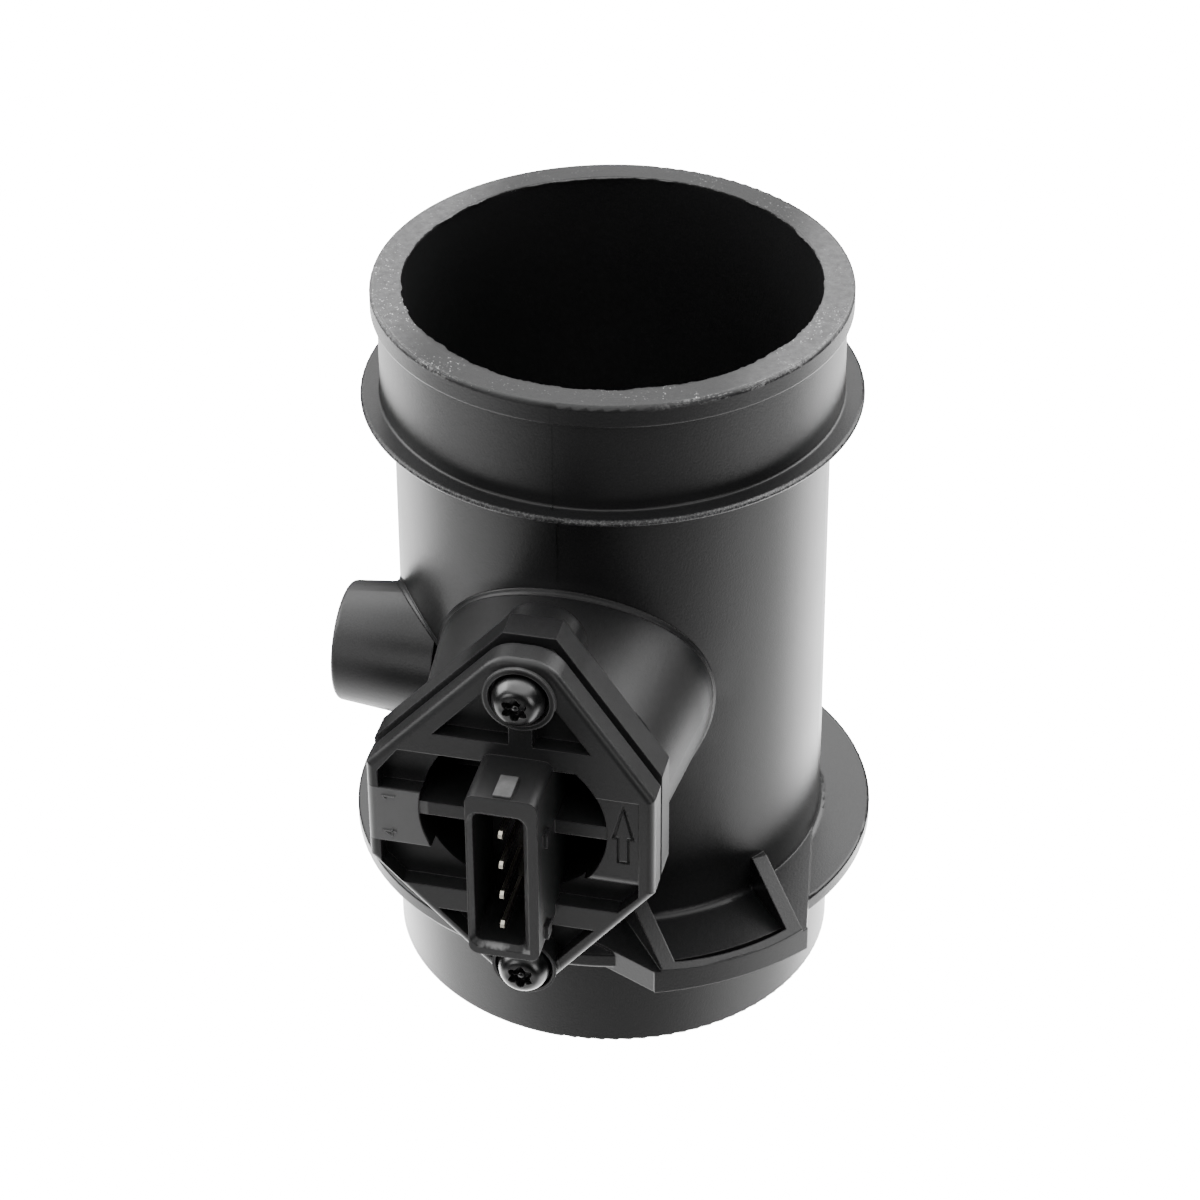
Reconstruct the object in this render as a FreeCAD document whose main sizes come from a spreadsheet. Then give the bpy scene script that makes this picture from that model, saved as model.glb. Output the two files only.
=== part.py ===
import FreeCAD, Part
import math
import os

import Sketcher
from FreeCAD import Placement, Rotation, Vector

# Mass airflow sensor: a moulded measuring tube with a plug-in hot-film module.
# The origin is the middle of the inlet spigot's end. +Z is the way the air flows,
# and the connector plate faces -Y. "Out" sizes are distances in front of the tube's
# axis, along -Y. Heights of the module's features are kept from the module's axis.

SIZES = {
    # Tube, turned about Z
    "tube_height": 130.0,
    "duct_radius": 34.3,
    "spigot_radius": 38.3,
    "flange_top": 25.9,
    "flange_thickness": 3.3,
    "flange_proud": 7.1,
    "body_radius_low": 36.5,
    "body_radius_high": 36.1,
    "bead_top": 110.4,
    "bead_radius": 41.5,
    "bead_edge": 0.9,
    "bead_taper": 1.3,
    "neck_radius": 38.2,
    "lip_radius": 39.3,
    "lip_height": 3.8,
    "spigot_end_round": 0.6,
    "flange_root_round": 2.0,
    "flange_lower_round": 0.9,
    "flange_upper_round": 0.5,
    "body_root_round": 1.2,
    "bead_lower_round": 0.4,
    "bead_upper_round": 0.5,
    "neck_root_round": 0.4,
    "lip_lower_round": 0.3,
    "lip_upper_round": 0.8,
    # Ears of the flange, for the clips of the air box
    "ear_angle": 36.7,
    "ear_proud": 5.8,
    "ear_thickness": 4.4,
    "ear_step": 0.5,
    "ear_root_half": 27.6,
    "ear_root_out": 23.8,
    "ear_tip_half": 14.2,
    "ear_tip_depth": 2.4,
    "rib_foot_gap": 0.4,
    "rib_sink": 1.0,
    "rib_half": 11.65,
    "rib_thickness": 2.7,
    "rib_rise": 6.0,
    "ear_lip": 1.4,
    "ear_recess": 0.5,
    "ear_slot": 1.8,
    "ear_slot_depth": 3.0,
    # Boss that takes the sensor module
    "boss_radius": 24.0,
    "boss_end_radius": 21.0,
    "boss_height": 2.6,
    "collar_back": 53.0,
    "collar_front": 58.3,
    "module_height": 67.4,
    "module_shift": 1.6,
    "module_bore_radius": 17.0,
    "module_bore_floor": 42.0,
    "module_clearance": 0.4,
    "screw_height": -2.2,
    "screw_spacing": 53.6,
    "screw_boss_radius": 6.9,
    "screw_boss_back": 47.8,
    "boss_groove_radius": 6.1,
    "boss_groove_core": 3.6,
    "boss_groove_depth": 1.5,
    "pilot_radius": 2.0,
    "pilot_floor": 1.0,
    "web_thickness": 3.0,
    # Side stub for a hose
    "stub_forward": 19.0,
    "stub_height": 65.0,
    "stub_end": 42.0,
    "stub_end_radius": 10.2,
    "stub_root": 24.0,
    "stub_root_radius": 12.0,
    "stub_bore_radius": 7.6,
    "stub_end_round": 0.9,
    # Connector plate and plug
    "plate_front": 64.0,
    "plate_left": 25.4,
    "plate_right": 21.3,
    "plate_side_top": 8.6,
    "plate_side_bottom": -10.9,
    "plate_crown": 32.4,
    "plate_crown_half": 4.2,
    "plate_crown_shift": 0.3,
    "plate_toe": -36.8,
    "plate_toe_radius": 4.4,
    "plate_step": 0.9,
    "plate_crown_round": 6.0,
    "plate_edge_round": 1.2,
    "groove_width": 1.0,
    "groove_depth": 1.1,
    "rim_width": 5.2,
    "side_rim_left": 2.0,
    "side_rim_right": 2.5,
    "pocket_depth": 3.0,
    "well_radius": 15.3,
    "well_depth": 11.0,
    "upper_rib_top": 15.3,
    "upper_rib_bottom": 11.3,
    "lower_rib_top": -15.4,
    "lower_rib_bottom": -19.8,
    "pad_top": 3.2,
    "pad_bottom": -7.3,
    "arrow_field_top": 7.1,
    "arrow_field_bottom": -10.4,
    "arrow_field_depth": 0.15,
    "arrow_field_round": 2.0,
    "window_corner": 3.4,
    "window_upper_cut": 2.0,
    "window_lower_cut": 0.8,
    "toe_web": 4.0,
    "cross_rib": 2.5,
    "cross_rib_height": 0.2,
    "cross_rib_drop": 0.3,
    "joint_sink": 0.5,
    "seat_radius": 5.8,
    "seat_proud": 0.6,
    "seat_bore_radius": 4.9,
    "seat_bore_depth": 1.3,
    "toe_seat_wall": 0.6,
    "head_clearance": 0.3,
    "seat_web": 3.8,
    "web_drop": 0.6,
    "plug_front": 74.8,
    "plug_width": 11.5,
    "plug_length": 31.6,
    "plug_height": -2.8,
    "plug_shift": 0.5,
    "plug_corner": 1.6,
    "socket_floor": 62.0,
    "socket_width": 8.1,
    "socket_length": 25.4,
    "socket_shift": 1.2,
    "socket_drop": 0.9,
    "socket_lead_in": 0.8,
    "socket_corner": 1.2,
    "key_width": 2.9,
    "key_proud": 0.5,
    "key_length": 5.2,
    "key_setback": 0.3,
    "key_shift": 0.35,
    "catch_proud": 0.7,
    "catch_length": 2.5,
    "catch_width": 2.2,
    "catch_setback": 3.4,
    "catch_upper": 9.9,
    "catch_lower": 28.3,
    "arrow_middle": 16.3,
    "arrow_tip": 6.5,
    "arrow_shoulder": -0.5,
    "arrow_foot": -5.3,
    "arrow_head_half": 1.9,
    "arrow_stem_half": 1.05,
    "arrow_line": 0.4,
    "arrow_depth": 0.35,
    # Screws
    "head_radius": 4.45,
    "head_height": 4.2,
    "head_rim": 0.7,
    "shank_length": 13.6,
    "shank_clearance": 0.5,
    "shank_point": 1.2,
    "recess_depth": 1.7,
    "recess_core": 1.35,
    "recess_lobe": 0.55,
    "recess_pin": 0.55,
    # Terminals
    "terminal_thickness": 0.64,
    "terminal_width": 1.6,
    "terminal_tip": 73.6,
    "terminal_taper": 0.5,
    "terminal_pitch": 6.0,
    "terminal_drop": 1.5,
    "terminal_shift": 1.0,
    "lead_pitch": 4.0,
    "lead_width": 1.2,
    "link_front": 61.4,
    "link_depth": 1.0,
    "link_pitch": 1.6,
    "lead_end": 40.0,
    # Sensor module that reaches into the duct
    "plug_stem_radius": 16.7,
    "stem_thickness": 13.0,
    "stem_length": 23.0,
    "stem_tip": 9.0,
    "stem_edge_round": 1.5,
    "stem_base": 45.6,
    "seal_forward": 3.4,
    "seal_section": 2.6,
    "chamber_front": 43.6,
    "chamber_back": 15.0,
    "chamber_wall": 2.5,
    "cover_thickness": 1.2,
    "cover_ledge": 1.0,
    "board_thickness": 0.7,
    "board_margin": 0.6,
    "channel_front": 11.0,
    "channel_back": 5.5,
    "channel_throat": 3.0,
    "channel_mouth": 2.0,
    "channel_floor": 1.4,
    "carrier_thickness": 0.8,
    "carrier_width": 5.0,
    "carrier_end": 0.5,
    "carrier_overlap": 4.0,
    "chip_side": 2.6,
    "chip_thickness": 0.4,
    "chip_margin": 0.4,
    "circuit_side": 6.0,
    "circuit_height": 1.2,
    "capacitor_length": 3.2,
    "capacitor_width": 1.6,
    "bead_lead_radius": 0.35,
    "thermistor_out": 22.0,
    "thermistor_gap": 4.0,
    "thermistor_drop": 3.0,
    "thermistor_sink": 1.8,
    "thermistor_radius": 1.1,
    # Inlet: flow straightener, wire screen and its ring
    "inlet_radius": 36.3,
    "inlet_depth": 20.0,
    "inlet_clearance": 0.15,
    "straightener_depth": 8.0,
    "straightener_rim": 1.6,
    "cell_pitch": 6.4,
    "cell_wall": 0.8,
    "screen_frame": 1.2,
    "screen_frame_width": 1.8,
    "screen_pitch": 6.0,
    "screen_wire": 0.7,
    "ring_depth": 2.4,
    "ring_width": 2.0,
}

OVERRUN = 1.0
CELL_RINGS = 5
SCREEN_REACH = 5
TERMINALS = 4

doc = FreeCAD.newDocument("mass_airflow_sensor")
sheet = doc.addObject("Spreadsheet::Sheet", "Sizes")
for row, (alias, length) in enumerate(SIZES.items(), start=1):
    sheet.set("A%d" % row, alias)
    sheet.set("B%d" % row, str(length))
    sheet.setAlias("B%d" % row, alias)
doc.recompute()


class Size:
    """A length or an angle: its value now, and its formula in the sheet's cells."""

    def __init__(self, value, formula):
        self.value = value
        self.formula = formula

    def __add__(self, other):
        other = as_size(other)
        return Size(self.value + other.value, "(%s + %s)" % (self.formula, other.formula))

    def __sub__(self, other):
        other = as_size(other)
        return Size(self.value - other.value, "(%s - %s)" % (self.formula, other.formula))

    def __mul__(self, other):
        other = as_size(other)
        return Size(self.value * other.value, "(%s * %s)" % (self.formula, other.formula))

    def __truediv__(self, other):
        other = as_size(other)
        return Size(self.value / other.value, "(%s / %s)" % (self.formula, other.formula))

    def __neg__(self):
        return Size(-self.value, "(-%s)" % self.formula)

    def __radd__(self, other):
        return as_size(other) + self

    def __rsub__(self, other):
        return as_size(other) - self

    def __rmul__(self, other):
        return as_size(other) * self


def as_size(number):
    return number if isinstance(number, Size) else Size(float(number), "(%r)" % float(number))


def size(alias):
    return Size(float(sheet.get(alias)), "Sizes.%s" % alias)


def level(alias):
    """Height of a feature of the module, its plate or its boss, which is kept from the module's axis."""
    return size("module_height") + size(alias)


def bind(item, name, length):
    item.setExpression(name, as_size(length).formula)


ALONG = {
    "+Z": Rotation(),
    "-Y": Rotation(Vector(1, 0, 0), 90),
    "+Y": Rotation(Vector(1, 0, 0), -90),
    "-X": Rotation(Vector(0, 1, 0), -90),
}


def place(item, at, rotation):
    item.Placement = Placement(Vector(), rotation)
    for axis, length in zip("xyz", at):
        bind(item, "Placement.Base.%s" % axis, length)
    return item


def cylinder(name, radius, height, at, along):
    item = doc.addObject("Part::Cylinder", name)
    bind(item, "Radius", radius)
    bind(item, "Height", height)
    return place(item, at, ALONG[along])


def cone(name, radius, far_radius, height, at, along):
    item = doc.addObject("Part::Cone", name)
    bind(item, "Radius1", radius)
    bind(item, "Radius2", far_radius)
    bind(item, "Height", height)
    return place(item, at, ALONG[along])


def box(name, low, high):
    """Upright box from its lowest corner to its highest."""
    item = doc.addObject("Part::Box", name)
    for side, a, b in zip(("Length", "Width", "Height"), low, high):
        bind(item, side, as_size(b) - a)
    return place(item, low, Rotation())


def fuse(name, *pieces):
    item = doc.addObject("Part::MultiFuse", name)
    item.Shapes = list(pieces)
    return item


def cut(name, base, tool):
    item = doc.addObject("Part::Cut", name)
    item.Base = base
    item.Tool = tool
    return item


def common(name, *pieces):
    item = doc.addObject("Part::MultiCommon", name)
    item.Shapes = list(pieces)
    return item


def rounded(name, base, radius, picks):
    """Round the edges of a Part object for which picks(edge) is true."""
    doc.recompute()
    item = doc.addObject("Part::Fillet", name)
    item.Base = base
    item.Edges = [(n, radius, radius) for n, edge in enumerate(base.Shape.Edges, start=1) if picks(edge)]
    return item


def closed_outline(sketch, points):
    """Straight-sided closed outline whose corners are bound to the sheet."""
    corners = [(as_size(x), as_size(y)) for x, y in points]
    vectors = [Vector(x.value, y.value, 0) for x, y in corners]
    lines = [Part.LineSegment(a, b) for a, b in zip(vectors, vectors[1:] + vectors[:1])]
    ids = list(sketch.addGeometry(lines, False))
    joins = [Sketcher.Constraint("Coincident", a, 2, b, 1) for a, b in zip(ids, ids[1:] + ids[:1])]
    sketch.addConstraint(joins)
    for line, (x, y) in zip(ids, corners):
        for kind, length in (("DistanceX", x), ("DistanceY", y)):
            index = sketch.addConstraint(Sketcher.Constraint(kind, line, 1, length.value))
            bind(sketch, "Constraints[%d]" % index, length)


def circle_outline(sketch, x, y, radius):
    x, y, radius = as_size(x), as_size(y), as_size(radius)
    centre = Vector(x.value, y.value, 0)
    ring = sketch.addGeometry(Part.Circle(centre, Vector(0, 0, 1), radius.value), False)
    for kind, length in (("DistanceX", x), ("DistanceY", y)):
        index = sketch.addConstraint(Sketcher.Constraint(kind, ring, 3, length.value))
        bind(sketch, "Constraints[%d]" % index, length)
    index = sketch.addConstraint(Sketcher.Constraint("Radius", ring, radius.value))
    bind(sketch, "Constraints[%d]" % index, radius)


def rectangle(low_x, low_y, high_x, high_y):
    return [(low_x, low_y), (high_x, low_y), (high_x, high_y), (low_x, high_y)]


def free_sketch(name, at, rotation):
    sketch = doc.addObject("Sketcher::SketchObject", name)
    return place(sketch, at, rotation)


def extruded(name, sketch, direction, length):
    item = doc.addObject("Part::Extrusion", name)
    item.Base = sketch
    item.DirMode = "Custom"
    item.Dir = direction
    bind(item, "LengthFwd", length)
    item.Solid = True
    return item


def new_body(label):
    body = doc.addObject("PartDesign::Body", label)
    body.Label = label
    return body


def sketch_on(body, name, role, out):
    """Sketch on one of the body's own origin planes, moved along its normal."""
    plane = [item for item in body.Origin.OriginFeatures if item.Role == role][0]
    sketch = body.newObject("Sketcher::SketchObject", name)
    sketch.AttachmentSupport = (plane, [""])
    sketch.MapMode = "FlatFace"
    bind(sketch, "AttachmentOffset.Base.z", out)
    return sketch


def pad(body, name, sketch, length):
    item = body.newObject("PartDesign::Pad", name)
    item.Profile = sketch
    bind(item, "Length", length)
    return item


def pocket(body, name, sketch, depth):
    item = body.newObject("PartDesign::Pocket", name)
    item.Profile = sketch
    bind(item, "Length", depth)
    return item


def dress(body, kind, name, amount, picks):
    """Round or bevel the edges of the body's last feature for which picks(edge) is true."""
    doc.recompute()
    base = body.Tip
    names = ["Edge%d" % n for n, edge in enumerate(base.Shape.Edges, start=1) if picks(edge)]
    item = body.newObject(kind, name)
    item.Base = (base, names)
    bind(item, "Radius" if kind.endswith("Fillet") else "Size", amount)
    return item


def near(a, b):
    return abs(a - as_size(b).value) < 0.01


def on_radius(edge, radius, height):
    """True for a full turn about Z at this radius and height."""
    curve = edge.Curve
    if not isinstance(curve, Part.Circle):
        return False
    return near(curve.Radius, radius) and near(curve.Center.z, height) and near(curve.Center.x, 0.0)


def runs_along_y(edge):
    low, high = edge.Vertexes[0].Point, edge.Vertexes[-1].Point
    return abs(low.x - high.x) < 0.01 and abs(low.z - high.z) < 0.01 and abs(low.y - high.y) > 0.5


# Sizes that several pieces share

flange_bottom = size("flange_top") - size("flange_thickness")
lip_bottom = size("tube_height") - size("lip_height")
bead_bottom = size("bead_top") - size("bead_edge")
bead_root = bead_bottom - size("bead_taper")
ear_top = size("flange_top") + size("ear_step")
flange_radius = size("spigot_radius") + size("flange_proud")
ear_radius = flange_radius + size("ear_proud")
upper_screw_z = level("screw_height") + size("screw_spacing") / 2
lower_screw_z = level("screw_height") - size("screw_spacing") / 2
stem_low = size("module_height") - size("stem_length") / 2
stem_high = size("module_height") + size("stem_length") / 2
seal_groove = size("stem_base") + size("seal_forward")
stem_half = size("stem_thickness") / 2
inlet_top = size("inlet_depth")


def plate_corners(inset=0.0, drop=0.0):
    """Corners of the six-sided plate with its pointed toe, clockwise from the upper left."""
    side_top = level("plate_side_top") - drop
    crown = level("plate_crown") - drop - inset
    left = -(size("plate_left") - inset)
    right = size("plate_right") - inset
    crown_left = size("plate_crown_shift") - size("plate_crown_half")
    crown_right = size("plate_crown_shift") + size("plate_crown_half")
    return [
        (left, side_top),
        (crown_left + inset * 0.3, crown),
        (crown_right - inset * 0.3, crown),
        (right, side_top),
        (right, level("plate_side_bottom")),
        (size("plate_crown_shift"), level("plate_toe") + inset * 1.3),
        (left, level("plate_side_bottom")),
    ]


FACE_FRONT = ALONG["-Y"]


# Tube: one moulding with flange, bead, lip, ears, sensor boss and hose stub

def tube_profile():
    sketch = free_sketch("tube_section", (0, 0, 0), FACE_FRONT)
    closed_outline(sketch, [
        (0, 0),
        (size("spigot_radius"), 0),
        (size("spigot_radius"), flange_bottom),
        (flange_radius, flange_bottom),
        (flange_radius, size("flange_top")),
        (size("body_radius_low"), size("flange_top")),
        (size("body_radius_high"), bead_root),
        (size("bead_radius"), bead_bottom),
        (size("bead_radius"), size("bead_top")),
        (size("neck_radius"), size("bead_top")),
        (size("neck_radius"), lip_bottom),
        (size("lip_radius"), lip_bottom),
        (size("lip_radius"), size("tube_height")),
        (0, size("tube_height")),
    ])
    turned = doc.addObject("Part::Revolution", "tube_turned")
    turned.Source = sketch
    turned.Axis = Vector(0, 0, 1)
    turned.Base = Vector(0, 0, 0)
    turned.Angle = 360
    turned.Solid = True
    edges = [
        (size("spigot_radius"), as_size(0.0), SIZES["spigot_end_round"]),
        (size("spigot_radius"), flange_bottom, SIZES["flange_root_round"]),
        (flange_radius, flange_bottom, SIZES["flange_lower_round"]),
        (flange_radius, size("flange_top"), SIZES["flange_upper_round"]),
        (size("body_radius_low"), size("flange_top"), SIZES["body_root_round"]),
        (size("bead_radius"), bead_bottom, SIZES["bead_lower_round"]),
        (size("bead_radius"), size("bead_top"), SIZES["bead_upper_round"]),
        (size("neck_radius"), size("bead_top"), SIZES["neck_root_round"]),
        (size("lip_radius"), lip_bottom, SIZES["lip_lower_round"]),
        (size("lip_radius"), size("tube_height"), SIZES["lip_upper_round"]),
    ]
    doc.recompute()
    smooth = doc.addObject("Part::Fillet", "tube_outside")
    smooth.Base = turned
    smooth.Edges = [
        (n, radius, radius)
        for n, edge in enumerate(turned.Shape.Edges, start=1)
        for ring_radius, height, radius in edges
        if on_radius(edge, ring_radius, height)
    ]
    return smooth


def flange_ear(name, turn):
    """One ear: a wedge-shaped pad on the flange with a slot, and two ribs up to the tube's wall."""
    spin = Rotation(Vector(0, 0, 1), turn)
    plan = free_sketch(name + "_plan", (0, 0, ear_top - size("ear_thickness")), spin)
    closed_outline(plan, [
        (-size("ear_root_half"), size("ear_root_out")),
        (size("ear_root_half"), size("ear_root_out")),
        (size("ear_tip_half"), ear_radius - size("ear_tip_depth")),
        (size("ear_tip_half"), ear_radius + OVERRUN),
        (-size("ear_tip_half"), ear_radius + OVERRUN),
        (-size("ear_tip_half"), ear_radius - size("ear_tip_depth")),
    ])
    slab = extruded(name + "_slab", plan, Vector(0, 0, 1), size("ear_thickness"))
    outer = size("rib_half") + size("rib_thickness") / 2
    inner = size("rib_half") - size("rib_thickness") / 2
    upright = Rotation(Vector(0, 0, 1), 90) * Rotation(Vector(1, 0, 0), 90)
    side = free_sketch(name + "_side", (0, 0, 0), spin * upright)
    rib_top = ear_top + size("rib_rise")
    rib_foot = ear_radius - size("rib_foot_gap")
    closed_outline(side, [
        (size("ear_root_out"), ear_top - size("rib_sink")),
        (rib_foot, ear_top - size("rib_sink")),
        (rib_foot, ear_top),
        (size("body_radius_low") - size("body_root_round"), rib_top),
        (size("ear_root_out"), rib_top),
    ])
    wedge = doc.addObject("Part::Extrusion", name + "_wedge")
    wedge.Base = side
    wedge.DirMode = "Normal"
    bind(wedge, "LengthFwd", outer)
    bind(wedge, "LengthRev", outer)
    wedge.Solid = True
    gap_plan = free_sketch(name + "_gap_plan", (0, 0, ear_top - size("ear_slot_depth")), spin)
    closed_outline(gap_plan, rectangle(
        -inner, size("ear_root_out") - OVERRUN, inner, ear_radius + OVERRUN))
    clear_height = size("rib_rise") + OVERRUN
    gap = extruded(name + "_gap", gap_plan, Vector(0, 0, 1), size("ear_slot_depth") + clear_height)
    hollow_radius = ear_radius - size("ear_lip")
    reach = cylinder(name + "_reach", hollow_radius, size("ear_recess") + clear_height,
                     (0, 0, ear_top - size("ear_recess")), "+Z")
    slot_foot = (0, 0, ear_top - size("ear_slot_depth"))
    slot_ring = cut(
        name + "_slot_ring",
        cylinder(name + "_slot_outside", hollow_radius, size("ear_slot_depth"), slot_foot, "+Z"),
        cylinder(name + "_slot_inside", hollow_radius - size("ear_slot"), size("ear_slot_depth"),
                 slot_foot, "+Z"))
    bounded = cylinder(name + "_bound", ear_radius,
                       size("ear_thickness") + size("rib_rise") + OVERRUN,
                       (0, 0, ear_top - size("ear_thickness")), "+Z")
    solid = common(name + "_solid", fuse(name + "_all", slab, wedge), bounded)
    hollow = common(name + "_hollow", gap, reach)
    slot = common(name + "_slot", gap, slot_ring)
    return cut(name, solid, fuse(name + "_clearance", hollow, slot))


def collar_and_bosses():
    plan = free_sketch("collar_plan", (0, -size("collar_back"), 0), FACE_FRONT)
    closed_outline(plan, plate_corners())
    slab = extruded("collar_slab", plan, Vector(0, -1, 0), size("collar_front") - size("collar_back"))
    collar = rounded("collar", slab, size("plate_toe_radius").value, lambda edge: (
        runs_along_y(edge) and near(edge.Vertexes[0].Z, level("plate_toe"))))
    boss_back = size("duct_radius") * 0.6
    boss = cone("sensor_boss", size("boss_radius"), size("boss_end_radius"), size("collar_back") - boss_back,
                (0, -boss_back, level("boss_height")), "-Y")
    groove = size("boss_groove_depth")
    groove_back = size("collar_back") - groove
    bosses = []
    for side, height in (("upper", upper_screw_z), ("lower", lower_screw_z)):
        post = cylinder("screw_post_%s" % side, size("screw_boss_radius"),
                        size("collar_back") - size("screw_boss_back"),
                        (0, -size("screw_boss_back"), height), "-Y")
        ring = cut(
            "boss_groove_%s" % side,
            cylinder("groove_outside_%s" % side, size("boss_groove_radius"), groove,
                     (0, -groove_back, height), "-Y"),
            cylinder("groove_inside_%s" % side, size("boss_groove_core"), groove,
                     (0, -groove_back, height), "-Y"))
        bosses.append(cut("screw_boss_%s" % side, post, ring))
    half_web = size("web_thickness") / 2
    web = box("boss_web", (-half_web, -size("collar_back"), lower_screw_z),
              (half_web, -size("duct_radius"), level("boss_height")))
    return [collar, boss, web] + bosses


def hose_stub():
    length = size("stub_end") - size("stub_root")
    solid = cone("stub_cone", size("stub_root_radius"), size("stub_end_radius"), length,
                 (-size("stub_root"), -size("stub_forward"), size("stub_height")), "-X")
    return rounded("hose_stub", solid, SIZES["stub_end_round"], lambda edge: (
        isinstance(edge.Curve, Part.Circle) and near(edge.Curve.Radius, size("stub_end_radius"))))


def tube_housing():
    outside = tube_profile()
    ears = [
        flange_ear("ear_front", SIZES["ear_angle"] - 180.0),
        flange_ear("ear_rear", SIZES["ear_angle"]),
    ]
    solid = fuse("housing_solid", outside, *ears, *collar_and_bosses(), hose_stub())
    slot_x = stem_half + size("module_clearance")
    slot_low = stem_low - size("module_clearance")
    cutters = [
        cylinder("duct", size("duct_radius"), size("tube_height") + 2 * OVERRUN, (0, 0, -OVERRUN), "+Z"),
        cylinder("inlet_recess", size("inlet_radius"), inlet_top + OVERRUN, (0, 0, -OVERRUN), "+Z"),
        cylinder("module_bore", size("module_bore_radius"),
                 size("collar_front") + OVERRUN - size("module_bore_floor"),
                 (-size("module_shift"), -size("module_bore_floor"), size("module_height")), "-Y"),
        box("module_slot", (-slot_x, -size("module_bore_floor") - OVERRUN, slot_low),
            (slot_x, 0, stem_high + size("module_clearance"))),
        cylinder("stub_bore", size("stub_bore_radius"), size("stub_end") + OVERRUN - size("stub_root"),
                 (-size("stub_root"), -size("stub_forward"), size("stub_height")), "-X"),
    ]
    pilot_back = size("screw_boss_back") + size("pilot_floor")
    for side, height in (("upper", upper_screw_z), ("lower", lower_screw_z)):
        cutters.append(cylinder("pilot_%s" % side, size("pilot_radius"),
                                size("collar_front") + OVERRUN - pilot_back, (0, -pilot_back, height), "-Y"))
    housing = cut("tube_housing", solid, fuse("housing_cutters", *cutters))
    housing.Label = "tube_housing"
    return housing


# Connector plate: one moulding with the plug's shell and the stem that reaches into the duct

def plate_blank(body):
    sketch = sketch_on(body, "plate_plan", "XZ_Plane", size("collar_front"))
    closed_outline(sketch, plate_corners(drop=size("plate_step")))
    pad(body, "plate_slab", sketch, size("plate_front") - size("collar_front"))
    dress(body, "PartDesign::Fillet", "plate_toe_round", size("plate_toe_radius"), lambda edge: (
        runs_along_y(edge) and near(edge.Vertexes[0].Z, level("plate_toe"))))
    dress(body, "PartDesign::Fillet", "plate_crown_rounds", size("plate_crown_round"), lambda edge: (
        runs_along_y(edge) and near(edge.Vertexes[0].Z, level("plate_crown") - size("plate_step"))))
    dress(body, "PartDesign::Fillet", "plate_edge_rounds", size("plate_edge_round"), lambda edge: all(
        near(vertex.Y, -size("plate_front")) for vertex in edge.Vertexes))


def plate_groove(body):
    """Shadow groove behind the plate's upper edges and sides."""
    out = size("collar_front") + size("groove_width")
    sketch = sketch_on(body, "groove_plan", "XZ_Plane", out)
    side_top = level("plate_side_top")
    corners = plate_corners()
    outer = [(x * 1.2, (z - side_top) * 1.2 + side_top) for x, z in corners[-1:] + corners[:5]]
    corners = plate_corners(size("groove_depth"), size("plate_step"))
    inner = corners[-1:] + corners[:5]
    closed_outline(sketch, outer + inner[::-1])
    pocket(body, "shadow_groove", sketch, size("groove_width"))


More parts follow.
